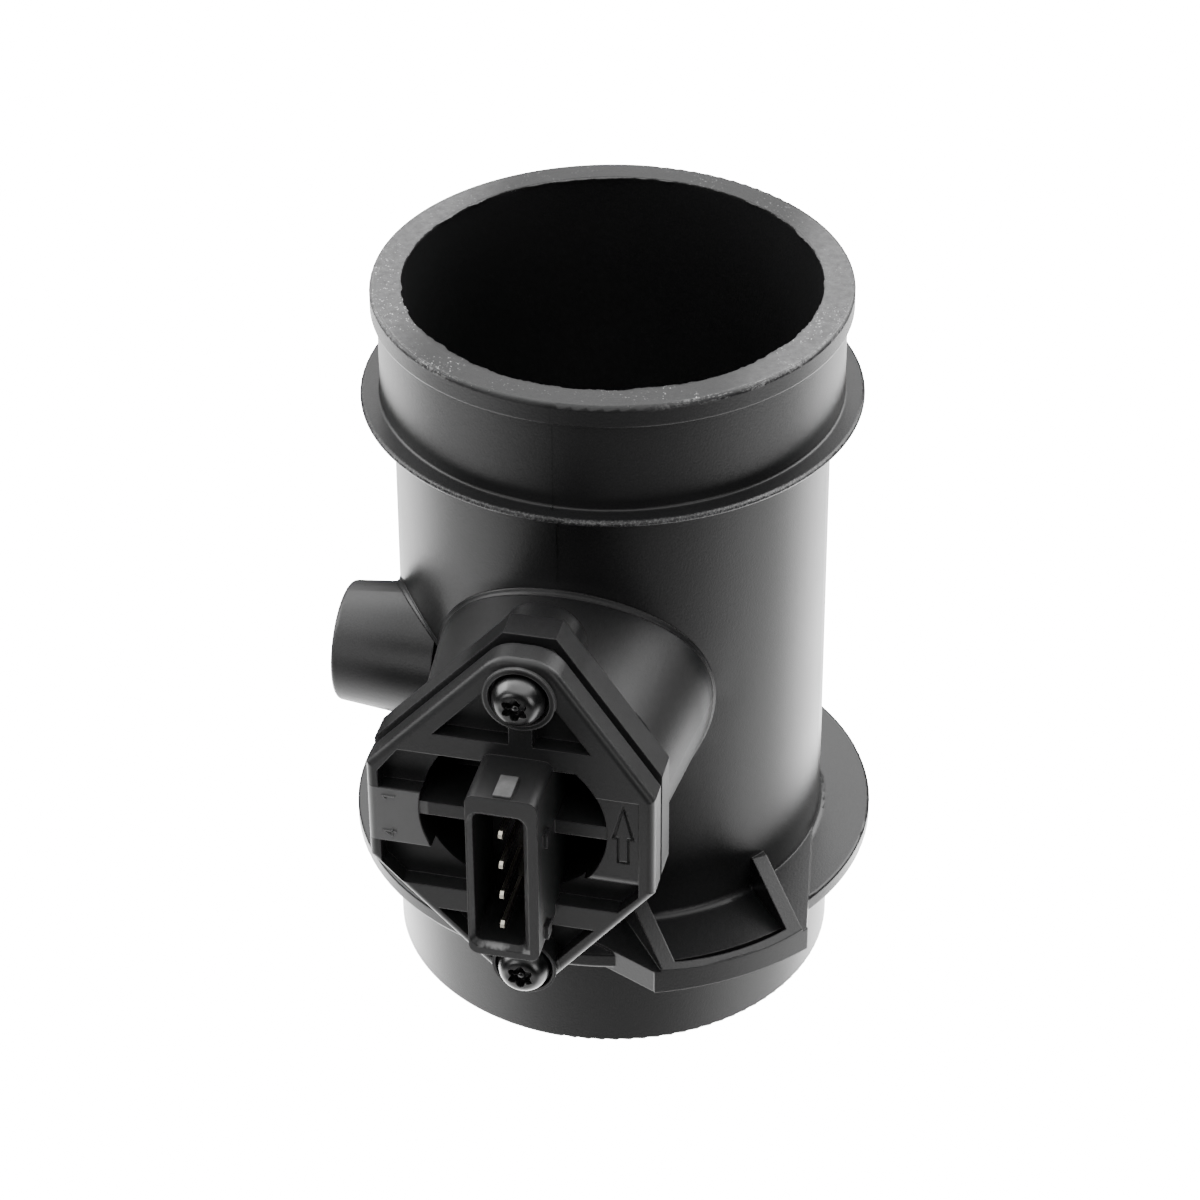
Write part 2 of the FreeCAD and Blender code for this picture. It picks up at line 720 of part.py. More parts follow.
def plate_pockets(body):
    """Lightening pockets in the face: two pairs of corner pockets, side windows and the round well."""
    front = size("plate_front") + size("seat_proud")
    deep = size("pocket_depth") + size("seat_proud")
    left = -(size("plate_left") - size("side_rim_left"))
    right = size("plate_right") - size("side_rim_right")
    rise_up = level("plate_crown") - level("plate_side_top")
    slope_left = rise_up / (size("plate_left") - size("plate_crown_half"))
    slope_right = rise_up / (size("plate_right") - size("plate_crown_half"))
    half_web = size("seat_web") / 2
    top = level("upper_rib_top")
    reach_left = (level("plate_crown") - top) / slope_left + size("plate_crown_half") - size("rim_width")
    reach_right = (level("plate_crown") - top) / slope_right + size("plate_crown_half") - size("rim_width")
    upper = sketch_on(body, "upper_pocket_plan", "XZ_Plane", front)
    closed_outline(upper, [
        (-reach_left, top), (-half_web, top), (-half_web, top + (reach_left - half_web) * slope_left)])
    closed_outline(upper, [
        (half_web, top), (reach_right, top), (half_web, top + (reach_right - half_web) * slope_right)])
    pocket(body, "upper_pockets", upper, deep)
    low = level("lower_rib_bottom")
    fall_left = (level("plate_side_bottom") - level("plate_toe")) / size("plate_left")
    fall_right = (level("plate_side_bottom") - level("plate_toe")) / size("plate_right")
    low_left = (low - level("plate_toe")) / fall_left - size("side_rim_right")
    low_right = (low - level("plate_toe")) / fall_right - size("side_rim_right")
    half_toe = size("toe_web") / 2
    lower = sketch_on(body, "lower_pocket_plan", "XZ_Plane", front)
    closed_outline(lower, [
        (-low_left, low), (-half_toe, low - (low_left - half_toe) * fall_left), (-half_toe, low)])
    closed_outline(lower, [
        (half_toe, low), (half_toe, low - (low_right - half_toe) * fall_right), (low_right, low)])
    pocket(body, "lower_pockets", lower, deep)
    windows = sketch_on(body, "window_plan", "XZ_Plane", front)
    rise = level("upper_rib_bottom")
    fall = level("lower_rib_top")
    mid = -size("module_shift")
    corner = size("window_corner")
    low_corner = level("plate_side_bottom") - size("window_lower_cut")
    closed_outline(windows, [
        (left, level("pad_top")), (left, level("plate_side_top") - size("window_upper_cut")),
        (left + corner, rise), (mid, rise), (mid, level("pad_top"))])
    closed_outline(windows, [
        (left, level("pad_bottom")), (mid, level("pad_bottom")), (mid, fall), (left + corner, fall),
        (left, low_corner)])
    pocket(body, "side_windows", windows, deep)
    field = sketch_on(body, "right_window_plan", "XZ_Plane", front)
    closed_outline(field, [
        (mid, level("arrow_field_bottom")), (right, level("arrow_field_bottom")),
        (right, low_corner), (right - corner, fall), (mid, fall)])
    pocket(body, "right_window", field, deep)
    sunk = sketch_on(body, "arrow_field_plan", "XZ_Plane", front)
    closed_outline(sunk, rectangle(mid, level("arrow_field_bottom"), right, level("arrow_field_top")))
    pocket(body, "arrow_field", sunk, size("arrow_field_depth") + size("seat_proud"))
    field_front = size("plate_front") - size("arrow_field_depth")
    dress(body, "PartDesign::Fillet", "arrow_field_edge", size("arrow_field_round"), lambda edge: all(
        near(vertex.Y, -field_front) and near(vertex.Z, level("arrow_field_bottom"))
        for vertex in edge.Vertexes))
    well = sketch_on(body, "well_plan", "XZ_Plane", front)
    circle_outline(well, mid, size("module_height"), size("well_radius"))
    pocket(body, "round_well", well, size("well_depth") + size("seat_proud"))


def plate_ribs(body):
    """Ribs across the well, screw seats with their web."""
    floor = size("plate_front") - size("well_depth")
    sink = size("joint_sink")
    half = size("cross_rib") / 2
    reach = size("well_radius") + sink
    mid = -size("module_shift")
    ribs = sketch_on(body, "cross_rib_plan", "XZ_Plane", floor - sink)
    closed_outline(ribs, rectangle(
        mid - reach, level("cross_rib_height") - half, mid + reach, level("cross_rib_height") + half))
    pad(body, "cross_ribs", ribs, size("well_depth") + sink - size("cross_rib_drop"))
    upper = sketch_on(body, "upper_rib_plan", "XZ_Plane", floor - sink)
    closed_outline(upper, rectangle(
        mid - reach, level("upper_rib_bottom"), mid + reach, level("upper_rib_top")))
    pad(body, "upper_rib", upper, size("well_depth") + sink)
    web_floor = size("plate_front") - size("pocket_depth") - sink
    web = sketch_on(body, "seat_web_plan", "XZ_Plane", web_floor)
    half_web = size("seat_web") / 2 - sink
    closed_outline(web, rectangle(-half_web, level("upper_rib_bottom"), half_web, upper_screw_z))
    pad(body, "seat_web", web, size("pocket_depth") + sink - size("web_drop"))
    seat_front = size("plate_front") + size("seat_proud")
    toe_bore = size("head_radius") + size("head_clearance")
    for side, height, radius, bore_radius in (
        ("upper", upper_screw_z, size("seat_radius"), size("seat_bore_radius")),
        ("lower", lower_screw_z, toe_bore + size("toe_seat_wall"), toe_bore),
    ):
        seat = sketch_on(body, "seat_%s_plan" % side, "XZ_Plane", size("collar_front") + sink)
        circle_outline(seat, 0, height, radius)
        pad(body, "seat_%s" % side, seat, seat_front - size("collar_front") - sink)
        bore = sketch_on(body, "seat_bore_%s_plan" % side, "XZ_Plane", seat_front)
        circle_outline(bore, 0, height, bore_radius)
        pocket(body, "seat_bore_%s" % side, bore, size("seat_bore_depth"))
        hole = sketch_on(body, "screw_hole_%s_plan" % side, "XZ_Plane", seat_front)
        circle_outline(hole, 0, height, size("pilot_radius") + size("shank_clearance"))
        pocket(body, "screw_hole_%s" % side, hole, seat_front - size("collar_front") + OVERRUN)


def plug_shell(body):
    floor = size("plate_front") - size("well_depth")
    half_x = size("plug_width") / 2
    half_z = size("plug_length") / 2
    z = level("plug_height")
    shell = sketch_on(body, "shell_plan", "XZ_Plane", floor - size("joint_sink"))
    shift = size("plug_shift")
    closed_outline(shell, rectangle(-shift - half_x, z - half_z, -shift + half_x, z + half_z))
    pad(body, "shell", shell, size("plug_front") - floor + size("joint_sink"))
    dress(body, "PartDesign::Fillet", "shell_corners", size("plug_corner"), lambda edge: (
        runs_along_y(edge) and near(abs(edge.Vertexes[0].X + shift.value), half_x)
        and max(-vertex.Y for vertex in edge.Vertexes) > SIZES["plug_front"] - 0.1))
    half_x = size("socket_width") / 2
    half_z = size("socket_length") / 2
    z = level("plug_height") - size("socket_drop")
    socket = sketch_on(body, "socket_plan", "XZ_Plane", size("plug_front"))
    closed_outline(socket, rectangle(
        -size("socket_shift") - half_x, z - half_z, -size("socket_shift") + half_x, z + half_z))
    pocket(body, "socket", socket, size("plug_front") - size("socket_floor"))
    dress(body, "PartDesign::Fillet", "socket_corners", size("socket_corner"), lambda edge: (
        runs_along_y(edge) and near(abs(edge.Vertexes[0].X + size("socket_shift").value), half_x)
        and abs(edge.Vertexes[0].Z - z.value) < half_z.value + 0.01
        and min(-vertex.Y for vertex in edge.Vertexes) > SIZES["socket_floor"] - 0.01))
    dress(body, "PartDesign::Chamfer", "socket_lead_in", size("socket_lead_in"), lambda edge: (
        all(near(vertex.Y, -size("plug_front")) for vertex in edge.Vertexes)
        and all(abs(vertex.X + size("socket_shift").value) < half_x.value + 0.01 for vertex in edge.Vertexes)
        and all(abs(vertex.Z - z.value) < half_z.value + 0.01 for vertex in edge.Vertexes)))


def back_clearance(body):
    """Behind the slab, only the round plug that enters the housing's bore is left."""
    around = sketch_on(body, "back_clearance_plan", "XZ_Plane", size("collar_front"))
    circle_outline(around, -size("module_shift"), size("module_height"), size("plug_stem_radius"))
    circle_outline(around, -size("module_shift"), size("module_height"), size("plug_stem_radius") * 2)
    pocket(body, "back_clearance", around, size("collar_front") - size("stem_base"))


def plug_keys(body):
    """Coding rib on the plug's top and two catches on its right side."""
    top = level("plug_height") + size("plug_length") / 2
    sink = size("joint_sink")
    half_key = size("key_width") / 2
    key_back = size("plug_front") - size("key_setback") - size("key_length")
    key = sketch_on(body, "key_plan", "XZ_Plane", key_back)
    closed_outline(key, rectangle(
        -size("key_shift") - half_key, top - sink, -size("key_shift") + half_key, top + size("key_proud")))
    pad(body, "coding_rib", key, size("key_length"))
    side = size("plug_width") / 2 - size("plug_shift")
    length = size("catch_length") / 2
    catch_back = size("plug_front") - size("catch_setback") - size("catch_width")
    proud = side + size("catch_proud")
    for number, height in enumerate((top - size("catch_upper"), top - size("catch_lower")), start=1):
        catch = sketch_on(body, "catch_%d_plan" % number, "XZ_Plane", catch_back)
        closed_outline(catch, rectangle(side - sink, height - length, proud, height + length))
        pad(body, "catch_%d" % number, catch, size("catch_width"))


def flow_arrow(body):
    """Engraved outline of an arrow that points the way the air flows."""
    middle = size("arrow_middle")
    tip = level("arrow_tip")
    shoulder = level("arrow_shoulder")
    foot = level("arrow_foot")
    head_half = size("arrow_head_half")
    shaft_half = size("arrow_stem_half")
    line = size("arrow_line")
    slant = line * 1.6
    sketch = sketch_on(body, "arrow_plan", "XZ_Plane", size("plate_front"))
    closed_outline(sketch, [
        (middle, tip), (middle + head_half, shoulder), (middle + shaft_half, shoulder),
        (middle + shaft_half, foot), (middle - shaft_half, foot),
        (middle - shaft_half, shoulder), (middle - head_half, shoulder)])
    closed_outline(sketch, [
        (middle, tip - slant * 2), (middle + head_half - slant, shoulder + line),
        (middle + shaft_half - line, shoulder + line), (middle + shaft_half - line, foot + line),
        (middle - shaft_half + line, foot + line), (middle - shaft_half + line, shoulder + line),
        (middle - head_half + slant, shoulder + line)])
    pocket(body, "arrow", sketch, size("arrow_depth") + size("arrow_field_depth"))


def module_stem(body):
    """Round plug with its seal groove, then the flat stem with its chamber and channel."""
    groove_back = seal_groove + size("seal_section")
    for name, start, end, radius in (
        ("stem_root_inner", size("stem_base"), seal_groove, size("plug_stem_radius")),
        ("stem_root_groove", seal_groove, groove_back,
         size("module_bore_radius") - size("seal_section")),
        ("stem_root_outer", groove_back, size("collar_front"), size("plug_stem_radius")),
    ):
        sketch = sketch_on(body, name + "_plan", "XZ_Plane", start)
        circle_outline(sketch, -size("module_shift"), size("module_height"), radius)
        pad(body, name, sketch, end - start)
    flat = sketch_on(body, "stem_plan", "XZ_Plane", -size("stem_tip"))
    closed_outline(flat, rectangle(-stem_half, stem_low, stem_half, stem_high))
    pad(body, "stem", flat, size("stem_tip") + size("stem_base"))
    dress(body, "PartDesign::Fillet", "stem_edges", size("stem_edge_round"), lambda edge: (
        runs_along_y(edge) and near(abs(edge.Vertexes[0].X), stem_half)
        and max(-vertex.Y for vertex in edge.Vertexes) < SIZES["stem_base"] + 0.01
        and edge.Length > SIZES["stem_base"]))


def stem_hollows(body):
    """Through window for the circuit, ledges for its two lids, and the measuring channel."""
    wall = size("chamber_wall")
    ledge = size("cover_ledge")
    lid = size("cover_thickness")
    front = -size("chamber_front")
    back = -size("chamber_back")
    side = sketch_on(body, "chamber_plan", "YZ_Plane", stem_half)
    closed_outline(side, rectangle(front, stem_low + wall, back, stem_high - wall))
    pocket(body, "chamber", side, size("stem_thickness"))
    seat = sketch_on(body, "lid_seat_plan", "YZ_Plane", stem_half)
    ledge_outline = rectangle(front - ledge, stem_low + wall - ledge, back + ledge, stem_high - wall + ledge)
    closed_outline(seat, ledge_outline)
    pocket(body, "lid_seat", seat, lid)
    base = sketch_on(body, "base_seat_plan", "YZ_Plane", -stem_half + lid)
    closed_outline(base, ledge_outline)
    pocket(body, "base_seat", base, lid)
    channel = sketch_on(body, "channel_plan", "YZ_Plane", stem_half)
    closed_outline(channel, channel_outline())
    pocket(body, "channel", channel, size("stem_thickness") - size("channel_floor"))
    cover = sketch_on(body, "channel_seat_plan", "YZ_Plane", stem_half)
    closed_outline(cover, channel_cover_outline())
    pocket(body, "channel_seat", cover, lid)


def channel_outline():
    """Measuring channel: wide at both ends, narrow at the sensor's chip."""
    front = -size("channel_front")
    back = size("channel_back")
    throat = size("channel_throat")
    mouth = size("channel_mouth")
    middle = size("module_height")
    return [
        (front, stem_low - OVERRUN), (back, stem_low - OVERRUN), (back, stem_low + mouth),
        (back - throat, middle),
        (back, stem_high - mouth), (back, stem_high + OVERRUN), (front, stem_high + OVERRUN),
        (front, stem_high - mouth), (front + throat, middle), (front, stem_low + mouth),
    ]


def channel_cover_outline():
    return rectangle(-size("channel_front") - size("cover_ledge"), stem_low - OVERRUN,
                     size("channel_back") + size("cover_ledge"), stem_high + OVERRUN)


def lead_heights(number):
    """Height of a terminal's pin and of its inner end, counted from the top."""
    steps = (TERMINALS - 1) / 2 - number
    pin_height = level("plug_height") - size("terminal_drop") + steps * size("terminal_pitch")
    return pin_height, size("module_height") + steps * size("lead_pitch")


def terminal(number):
    """Stamped strip: pin, link and inner lead in one flat piece."""
    body = new_body("terminal_%d" % (number + 1))
    pin_z, lead_z = lead_heights(number)
    half_pin = size("terminal_width") / 2
    half_lead = size("lead_width") / 2
    link_front = size("link_front") - number * size("link_pitch")
    link_back = link_front - size("link_depth")
    shift = size("terminal_shift") + size("terminal_thickness") / 2
    pin = sketch_on(body, "pin_plan_%d" % number, "YZ_Plane", -shift)
    tip = -size("terminal_tip")
    taper = size("terminal_taper")
    closed_outline(pin, [
        (tip, pin_z - half_pin + taper), (tip + taper, pin_z - half_pin), (-link_back, pin_z - half_pin),
        (-link_back, pin_z + half_pin), (tip + taper, pin_z + half_pin), (tip, pin_z + half_pin - taper)])
    pad(body, "pin_%d" % number, pin, size("terminal_thickness"))
    low, high = (pin_z, lead_z) if pin_z.value < lead_z.value else (lead_z, pin_z)
    link = sketch_on(body, "link_plan_%d" % number, "YZ_Plane", -shift)
    closed_outline(link, rectangle(-link_front, low - half_lead, -link_back, high + half_lead))
    pad(body, "link_%d" % number, link, size("terminal_thickness"))
    lead = sketch_on(body, "lead_plan_%d" % number, "YZ_Plane", -shift)
    closed_outline(lead, rectangle(-link_front, lead_z - half_lead, -size("lead_end"), lead_z + half_lead))
    pad(body, "lead_%d" % number, lead, size("terminal_thickness"))
    return body


def sensor_carrier():
    """Thin strip from the circuit chamber into the channel, which holds the chip in the air stream."""
    half = size("carrier_width") / 2
    middle = size("module_height")
    low_x = board_top()
    return box("sensor_carrier", (low_x, -size("chamber_back") - size("carrier_overlap"), middle - half),
               (low_x + size("carrier_thickness"), size("carrier_end"), middle + half))


def board_top():
    return size("cover_thickness") - stem_half + size("board_thickness")


def air_thermistor():
    """Bead on two wires ahead of the stem's leading edge, for the air's temperature."""
    middle = -size("thermistor_out")
    reach = size("thermistor_drop") + size("thermistor_sink")
    bottom = stem_low - size("thermistor_drop")
    wires = [
        cylinder("thermistor_wire_%d" % side, size("bead_lead_radius"), reach,
                 (0, middle + (side - 0.5) * size("thermistor_gap"), bottom), "+Z")
        for side in (0, 1)
    ]
    bridge = cylinder("thermistor_bridge", size("bead_lead_radius"), size("thermistor_gap"),
                      (0, middle - size("thermistor_gap") / 2, bottom), "+Y")
    bead = doc.addObject("Part::Ellipsoid", "thermistor_bead")
    bind(bead, "Radius1", size("thermistor_radius"))
    bind(bead, "Radius2", size("thermistor_radius") * 1.5)
    bind(bead, "Radius3", size("thermistor_radius"))
    place(bead, (0, middle, bottom), ALONG["+Y"])
    sensor = fuse("air_thermistor", *wires, bridge, bead)
    sensor.Label = "air_thermistor"
    return sensor


def connector_plate(inserts):
    body = new_body("plate_moulding")
    plate_blank(body)
    plate_groove(body)
    module_stem(body)
    plate_pockets(body)
    plate_ribs(body)
    plug_shell(body)
    back_clearance(body)
    plug_keys(body)
    flow_arrow(body)
    stem_hollows(body)
    plate = cut("connector_plate", body, fuse("moulded_in_pieces", *inserts))
    plate.Label = "connector_plate"
    return plate


def side_plate(name, low_x, outline, thickness):
    """Flat plate across X, such as a lid of the stem."""
    body = new_body(name)
    sketch = sketch_on(body, name + "_plan", "YZ_Plane", low_x)
    closed_outline(sketch, outline)
    pad(body, name + "_slab", sketch, thickness)
    return body


def stem_lids():
    wall = size("chamber_wall") - size("cover_ledge")
    lid = size("cover_thickness")
    front = -size("chamber_front") - size("cover_ledge")
    back = -size("chamber_back") + size("cover_ledge")
    chamber = rectangle(front, stem_low + wall, back, stem_high - wall)
    cover = channel_cover_outline()
    trimmed = rectangle(cover[0][0], stem_low, cover[1][0], stem_high)
    return [
        side_plate("base_plate", -stem_half, chamber, lid),
        side_plate("circuit_cover", stem_half - lid, chamber, lid),
        side_plate("channel_cover", stem_half - lid, trimmed, lid),
    ]


def circuit():
    """Ceramic board on the metal base plate, with its parts."""
    margin = size("board_margin")
    wall = size("chamber_wall") + margin
    low_x = size("cover_thickness") - stem_half
    top = board_top()
    middle = size("module_height")
    board = side_plate("hybrid_board", low_x, rectangle(
        -size("chamber_front") + margin, stem_low + wall, -size("chamber_back") - margin, stem_high - wall),
        size("board_thickness"))
    half = size("circuit_side") / 2
    centre = -(size("chamber_front") + size("chamber_back")) / 2
    chip = side_plate("evaluation_circuit", top, rectangle(
        centre - half, middle - half, centre + half, middle + half), size("circuit_height"))
    pieces = [board, chip]
    half_length = size("capacitor_length") / 2
    half_width = size("capacitor_width") / 2
    for number, height in enumerate((middle - size("circuit_side"), middle + size("circuit_side")), start=1):
        pieces.append(side_plate("capacitor_%d" % number, top, rectangle(
            centre - half_length, height - half_width, centre + half_length, height + half_width),
            size("capacitor_width")))
    side = size("chip_side") / 2
    out = size("carrier_end") - size("chip_side") / 2 - size("chip_margin")
    pieces.append(side_plate("hot_film_chip", top + size("carrier_thickness"), rectangle(
        out - side, middle - side, out + side, middle + side), size("chip_thickness")))
    return pieces


def stem_seal():
    ring = doc.addObject("Part::Torus", "stem_seal")
    ring.Label = "stem_seal"
    bind(ring, "Radius1", size("module_bore_radius") - size("seal_section") / 2)
    bind(ring, "Radius2", size("seal_section") / 2)
    middle = seal_groove + size("seal_section") / 2
    return place(ring, (-size("module_shift"), -middle, size("module_height")), ALONG["-Y"])


def screw(label, height):
    """Pan-head thread-forming screw with a six-lobe recess and a centre pin."""
    body = new_body(label)
    seat = size("plate_front") + size("seat_proud") - size("seat_bore_depth")
    section = sketch_on(body, label + "_section", "YZ_Plane", 0)
    bind(section, "AttachmentOffset.Base.y", height)
    top = seat + size("head_height")
    head = size("head_radius")
    shank_end = size("shank_length") - seat
    closed_outline(section, [
        (shank_end, 0), (shank_end - size("shank_point"), size("pilot_radius")),
        (-seat, size("pilot_radius")), (-seat, head), (-(seat + size("head_rim")), head),
        (-(top - size("head_height") * 0.42), head * 0.88),
        (-(top - size("head_height") * 0.14), head * 0.62),
        (-top, head * 0.3), (-top, 0)])
    turned = body.newObject("PartDesign::Revolution", label + "_turned")
    turned.Profile = section
    turned.ReferenceAxis = (section, ["H_Axis"])
    turned.Angle = 360
    core = sketch_on(body, label + "_core_plan", "XZ_Plane", top)
    circle_outline(core, 0, height, size("recess_core"))
    circle_outline(core, 0, height, size("recess_pin"))
    pocket(body, label + "_core", core, size("recess_depth"))
    lobe = sketch_on(body, label + "_lobe_plan", "XZ_Plane", top)
    bind(lobe, "AttachmentOffset.Base.y", height)
    circle_outline(lobe, size("recess_core"), 0, size("recess_lobe"))
    first = pocket(body, label + "_lobe", lobe, size("recess_depth"))
    lobes = body.newObject("PartDesign::PolarPattern", label + "_lobes")
    lobes.Originals = [first]
    lobes.Axis = (lobe, ["N_Axis"])
    lobes.Angle = 360
    lobes.Occurrences = 6
    body.Tip = lobes
    return body


def disc_face(radius):
    return Part.Face(Part.Wire(Part.makeCircle(radius)))


def hexagon(x, y, across):
    corner = across / math.sqrt(3)
    turns = [math.radians(60 * n + 30) for n in range(7)]
    points = [Vector(x + corner * math.cos(turn), y + corner * math.sin(turn), 0) for turn in turns]
    return Part.Face(Part.makePolygon(points))


def flow_straightener():
    """Moulded disc of six-sided cells, held in the inlet's recess."""
    pitch = SIZES["cell_pitch"]
    radius = SIZES["inlet_radius"] - SIZES["inlet_clearance"]
    limit = radius - SIZES["straightener_rim"]
    cells = []
    for row in range(-CELL_RINGS, CELL_RINGS + 1):
        for column in range(-2 * CELL_RINGS, 2 * CELL_RINGS + 1):
            x = pitch * (column + 0.5 * (row % 2))
            y = pitch * row * math.sqrt(3) / 2
            if math.hypot(x, y) < limit - pitch * 0.3:
                cells.append(hexagon(x, y, pitch - SIZES["cell_wall"]))
    inside = disc_face(limit)
    openings = Part.makeCompound([cell.common(inside) for cell in cells])
    face = disc_face(radius).cut(openings)
    item = doc.addObject("Part::Feature", "flow_straightener")
    item.Shape = face.extrude(Vector(0, 0, SIZES["straightener_depth"]))
    item.Placement = Placement(Vector(0, 0, SIZES["inlet_depth"] - SIZES["straightener_depth"]), Rotation())
    return item


def inlet_screen():
    """Wire screen in a flat frame: two crossed layers of wires, below the straightener."""
    pitch = SIZES["screen_pitch"]
    wire = SIZES["screen_wire"]
    frame = SIZES["screen_frame"]
    radius = SIZES["inlet_radius"] - SIZES["inlet_clearance"]
    inner = radius - SIZES["screen_frame_width"]
    ring = disc_face(radius).cut(disc_face(inner)).extrude(Vector(0, 0, frame))
    bars = []
    for step in range(-SCREEN_REACH, SCREEN_REACH + 1):
        offset = step * pitch
        half = math.sqrt((inner + 0.3) ** 2 - offset ** 2)
        low = frame / 2 - wire * 0.45
        high = low + wire * 0.4
        bars.append(Part.makeBox(2 * half, wire, wire * 0.5, Vector(-half, offset - wire / 2, low)))
        bars.append(Part.makeBox(wire, 2 * half, wire * 0.5, Vector(offset - wire / 2, -half, high)))
    item = doc.addObject("Part::Feature", "inlet_screen")
    item.Shape = ring.multiFuse(bars).removeSplitter()
    top = SIZES["inlet_depth"] - SIZES["straightener_depth"]
    item.Placement = Placement(Vector(0, 0, top - frame), Rotation())
    return item


def screen_ring():
    """Press-in ring that holds the screen and the straightener."""
    radius = size("inlet_radius")
    low = size("inlet_depth") - size("straightener_depth") - size("screen_frame") - size("ring_depth")
    outside = cylinder("screen_ring_outside", radius, size("ring_depth"), (0, 0, low), "+Z")
    inside = cylinder("screen_ring_inside", radius - size("ring_width"), size("ring_depth") + 2 * OVERRUN,
                      (0, 0, low - OVERRUN), "+Z")
    ring = cut("screen_ring", outside, inside)
    ring.Label = "screen_ring"
    return ring


# The whole sensor

terminals = [terminal(number) for number in range(TERMINALS)]
carrier = sensor_carrier()
thermistor = air_thermistor()
parts = [
    tube_housing(),
    connector_plate(terminals + [carrier, thermistor]),
    *terminals,
    *stem_lids(),
    *circuit(),
    carrier,
    thermistor,
    stem_seal(),
    screw("upper_screw", upper_screw_z),
    screw("lower_screw", lower_screw_z),
    flow_straightener(),
    inlet_screen(),
    screen_ring(),
]
doc.recompute()

for item in doc.Objects:
    if "Invalid" in item.State or "Error" in item.State:
        raise RuntimeError("%s failed: %s" % (item.Name, item.State))
os.makedirs("parts", exist_ok=True)
for part in parts:
    shape = part.Shape
    if shape.isNull() or not shape.isValid() or not shape.Solids:
        raise RuntimeError("%s has no sound solid" % part.Label)
    shape.exportStep("parts/%s.step" % part.Label)
    print("%-20s %2d solid, %9.1f mm3" % (part.Label, len(shape.Solids), shape.Volume))
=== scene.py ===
import math
import random

import bmesh
import bpy
from mathutils import Matrix, Vector


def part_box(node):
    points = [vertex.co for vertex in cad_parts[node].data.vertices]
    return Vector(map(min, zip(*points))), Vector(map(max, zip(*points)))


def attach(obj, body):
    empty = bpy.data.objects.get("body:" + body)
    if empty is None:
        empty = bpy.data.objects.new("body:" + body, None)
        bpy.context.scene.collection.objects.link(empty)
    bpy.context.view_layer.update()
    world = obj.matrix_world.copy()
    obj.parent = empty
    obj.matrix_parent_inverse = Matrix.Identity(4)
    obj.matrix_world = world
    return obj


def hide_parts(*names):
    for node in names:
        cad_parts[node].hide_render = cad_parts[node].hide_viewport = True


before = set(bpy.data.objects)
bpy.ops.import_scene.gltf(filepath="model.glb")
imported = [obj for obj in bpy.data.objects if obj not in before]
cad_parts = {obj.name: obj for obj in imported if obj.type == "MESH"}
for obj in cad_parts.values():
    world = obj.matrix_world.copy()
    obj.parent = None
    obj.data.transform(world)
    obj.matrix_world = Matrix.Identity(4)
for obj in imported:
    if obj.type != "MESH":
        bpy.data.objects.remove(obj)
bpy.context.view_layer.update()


# Camera
# A long lens above the plate and a little to its right, as the photograph was taken.
# Its turn, height, roll and distance were fitted to the tube's round ends and edges.

view_turn = math.radians(13.3)
view_height = math.radians(35.06)
view_roll = math.radians(-0.3)
view_middle = Vector((-0.0022, -0.0005, 0.0666))
view_distance = 0.6248
towards_camera = Vector((
    math.sin(view_turn) * math.cos(view_height),
    -math.cos(view_turn) * math.cos(view_height),
    math.sin(view_height),
))
level_right = Vector((math.cos(view_turn), math.sin(view_turn), 0))
level_up = towards_camera.cross(level_right)
rolled_right = math.cos(view_roll) * level_right + math.sin(view_roll) * level_up
rolled_up = towards_camera.cross(rolled_right)
lens = bpy.data.cameras.new("photo_camera")
lens.lens = 109.35
lens.sensor_width = 36
camera = bpy.data.objects.new("photo_camera", lens)
camera_turn = Matrix((rolled_right, rolled_up, towards_camera)).transposed().to_4x4()
camera.matrix_world = Matrix.Translation(view_middle + view_distance * towards_camera) @ camera_turn
bpy.context.collection.objects.link(camera)
bpy.context.scene.camera = camera


# Studio
# A bright white sheet under and behind the sensor, with large soft boxes at both sides.
# The room in front is dark, but for two low and weak lamps.

class Amount:
    """A socket whose value varies over a surface. Arithmetic on it adds Math nodes."""

    def __init__(self, socket):
        self.socket = socket

    def _math(self, operation, *operands):
        step = self.socket.id_data.nodes.new("ShaderNodeMath")
        step.operation = operation
        for entry, operand in zip(step.inputs, operands):
            feed(entry, operand)
        return Amount(step.outputs[0])

    def __add__(self, other):
        return self._math("ADD", self, other)

    def __radd__(self, other):
        return self._math("ADD", other, self)

    def __sub__(self, other):
        return self._math("SUBTRACT", self, other)

    def __rsub__(self, other):
        return self._math("SUBTRACT", other, self)

    def __mul__(self, other):
        return self._math("MULTIPLY", self, other)

    def __rmul__(self, other):
        return self._math("MULTIPLY", other, self)

    def __truediv__(self, other):
        return self._math("DIVIDE", self, other)

    def __pow__(self, other):
        return self._math("POWER", self, other)

    def __abs__(self):
        return self._math("ABSOLUTE", self)


def feed(entry, value):
    """Link a varying amount to a socket, or set a plain value on it."""
    if isinstance(value, Amount):
        entry.id_data.links.new(value.socket, entry)
    else:
        entry.default_value = value


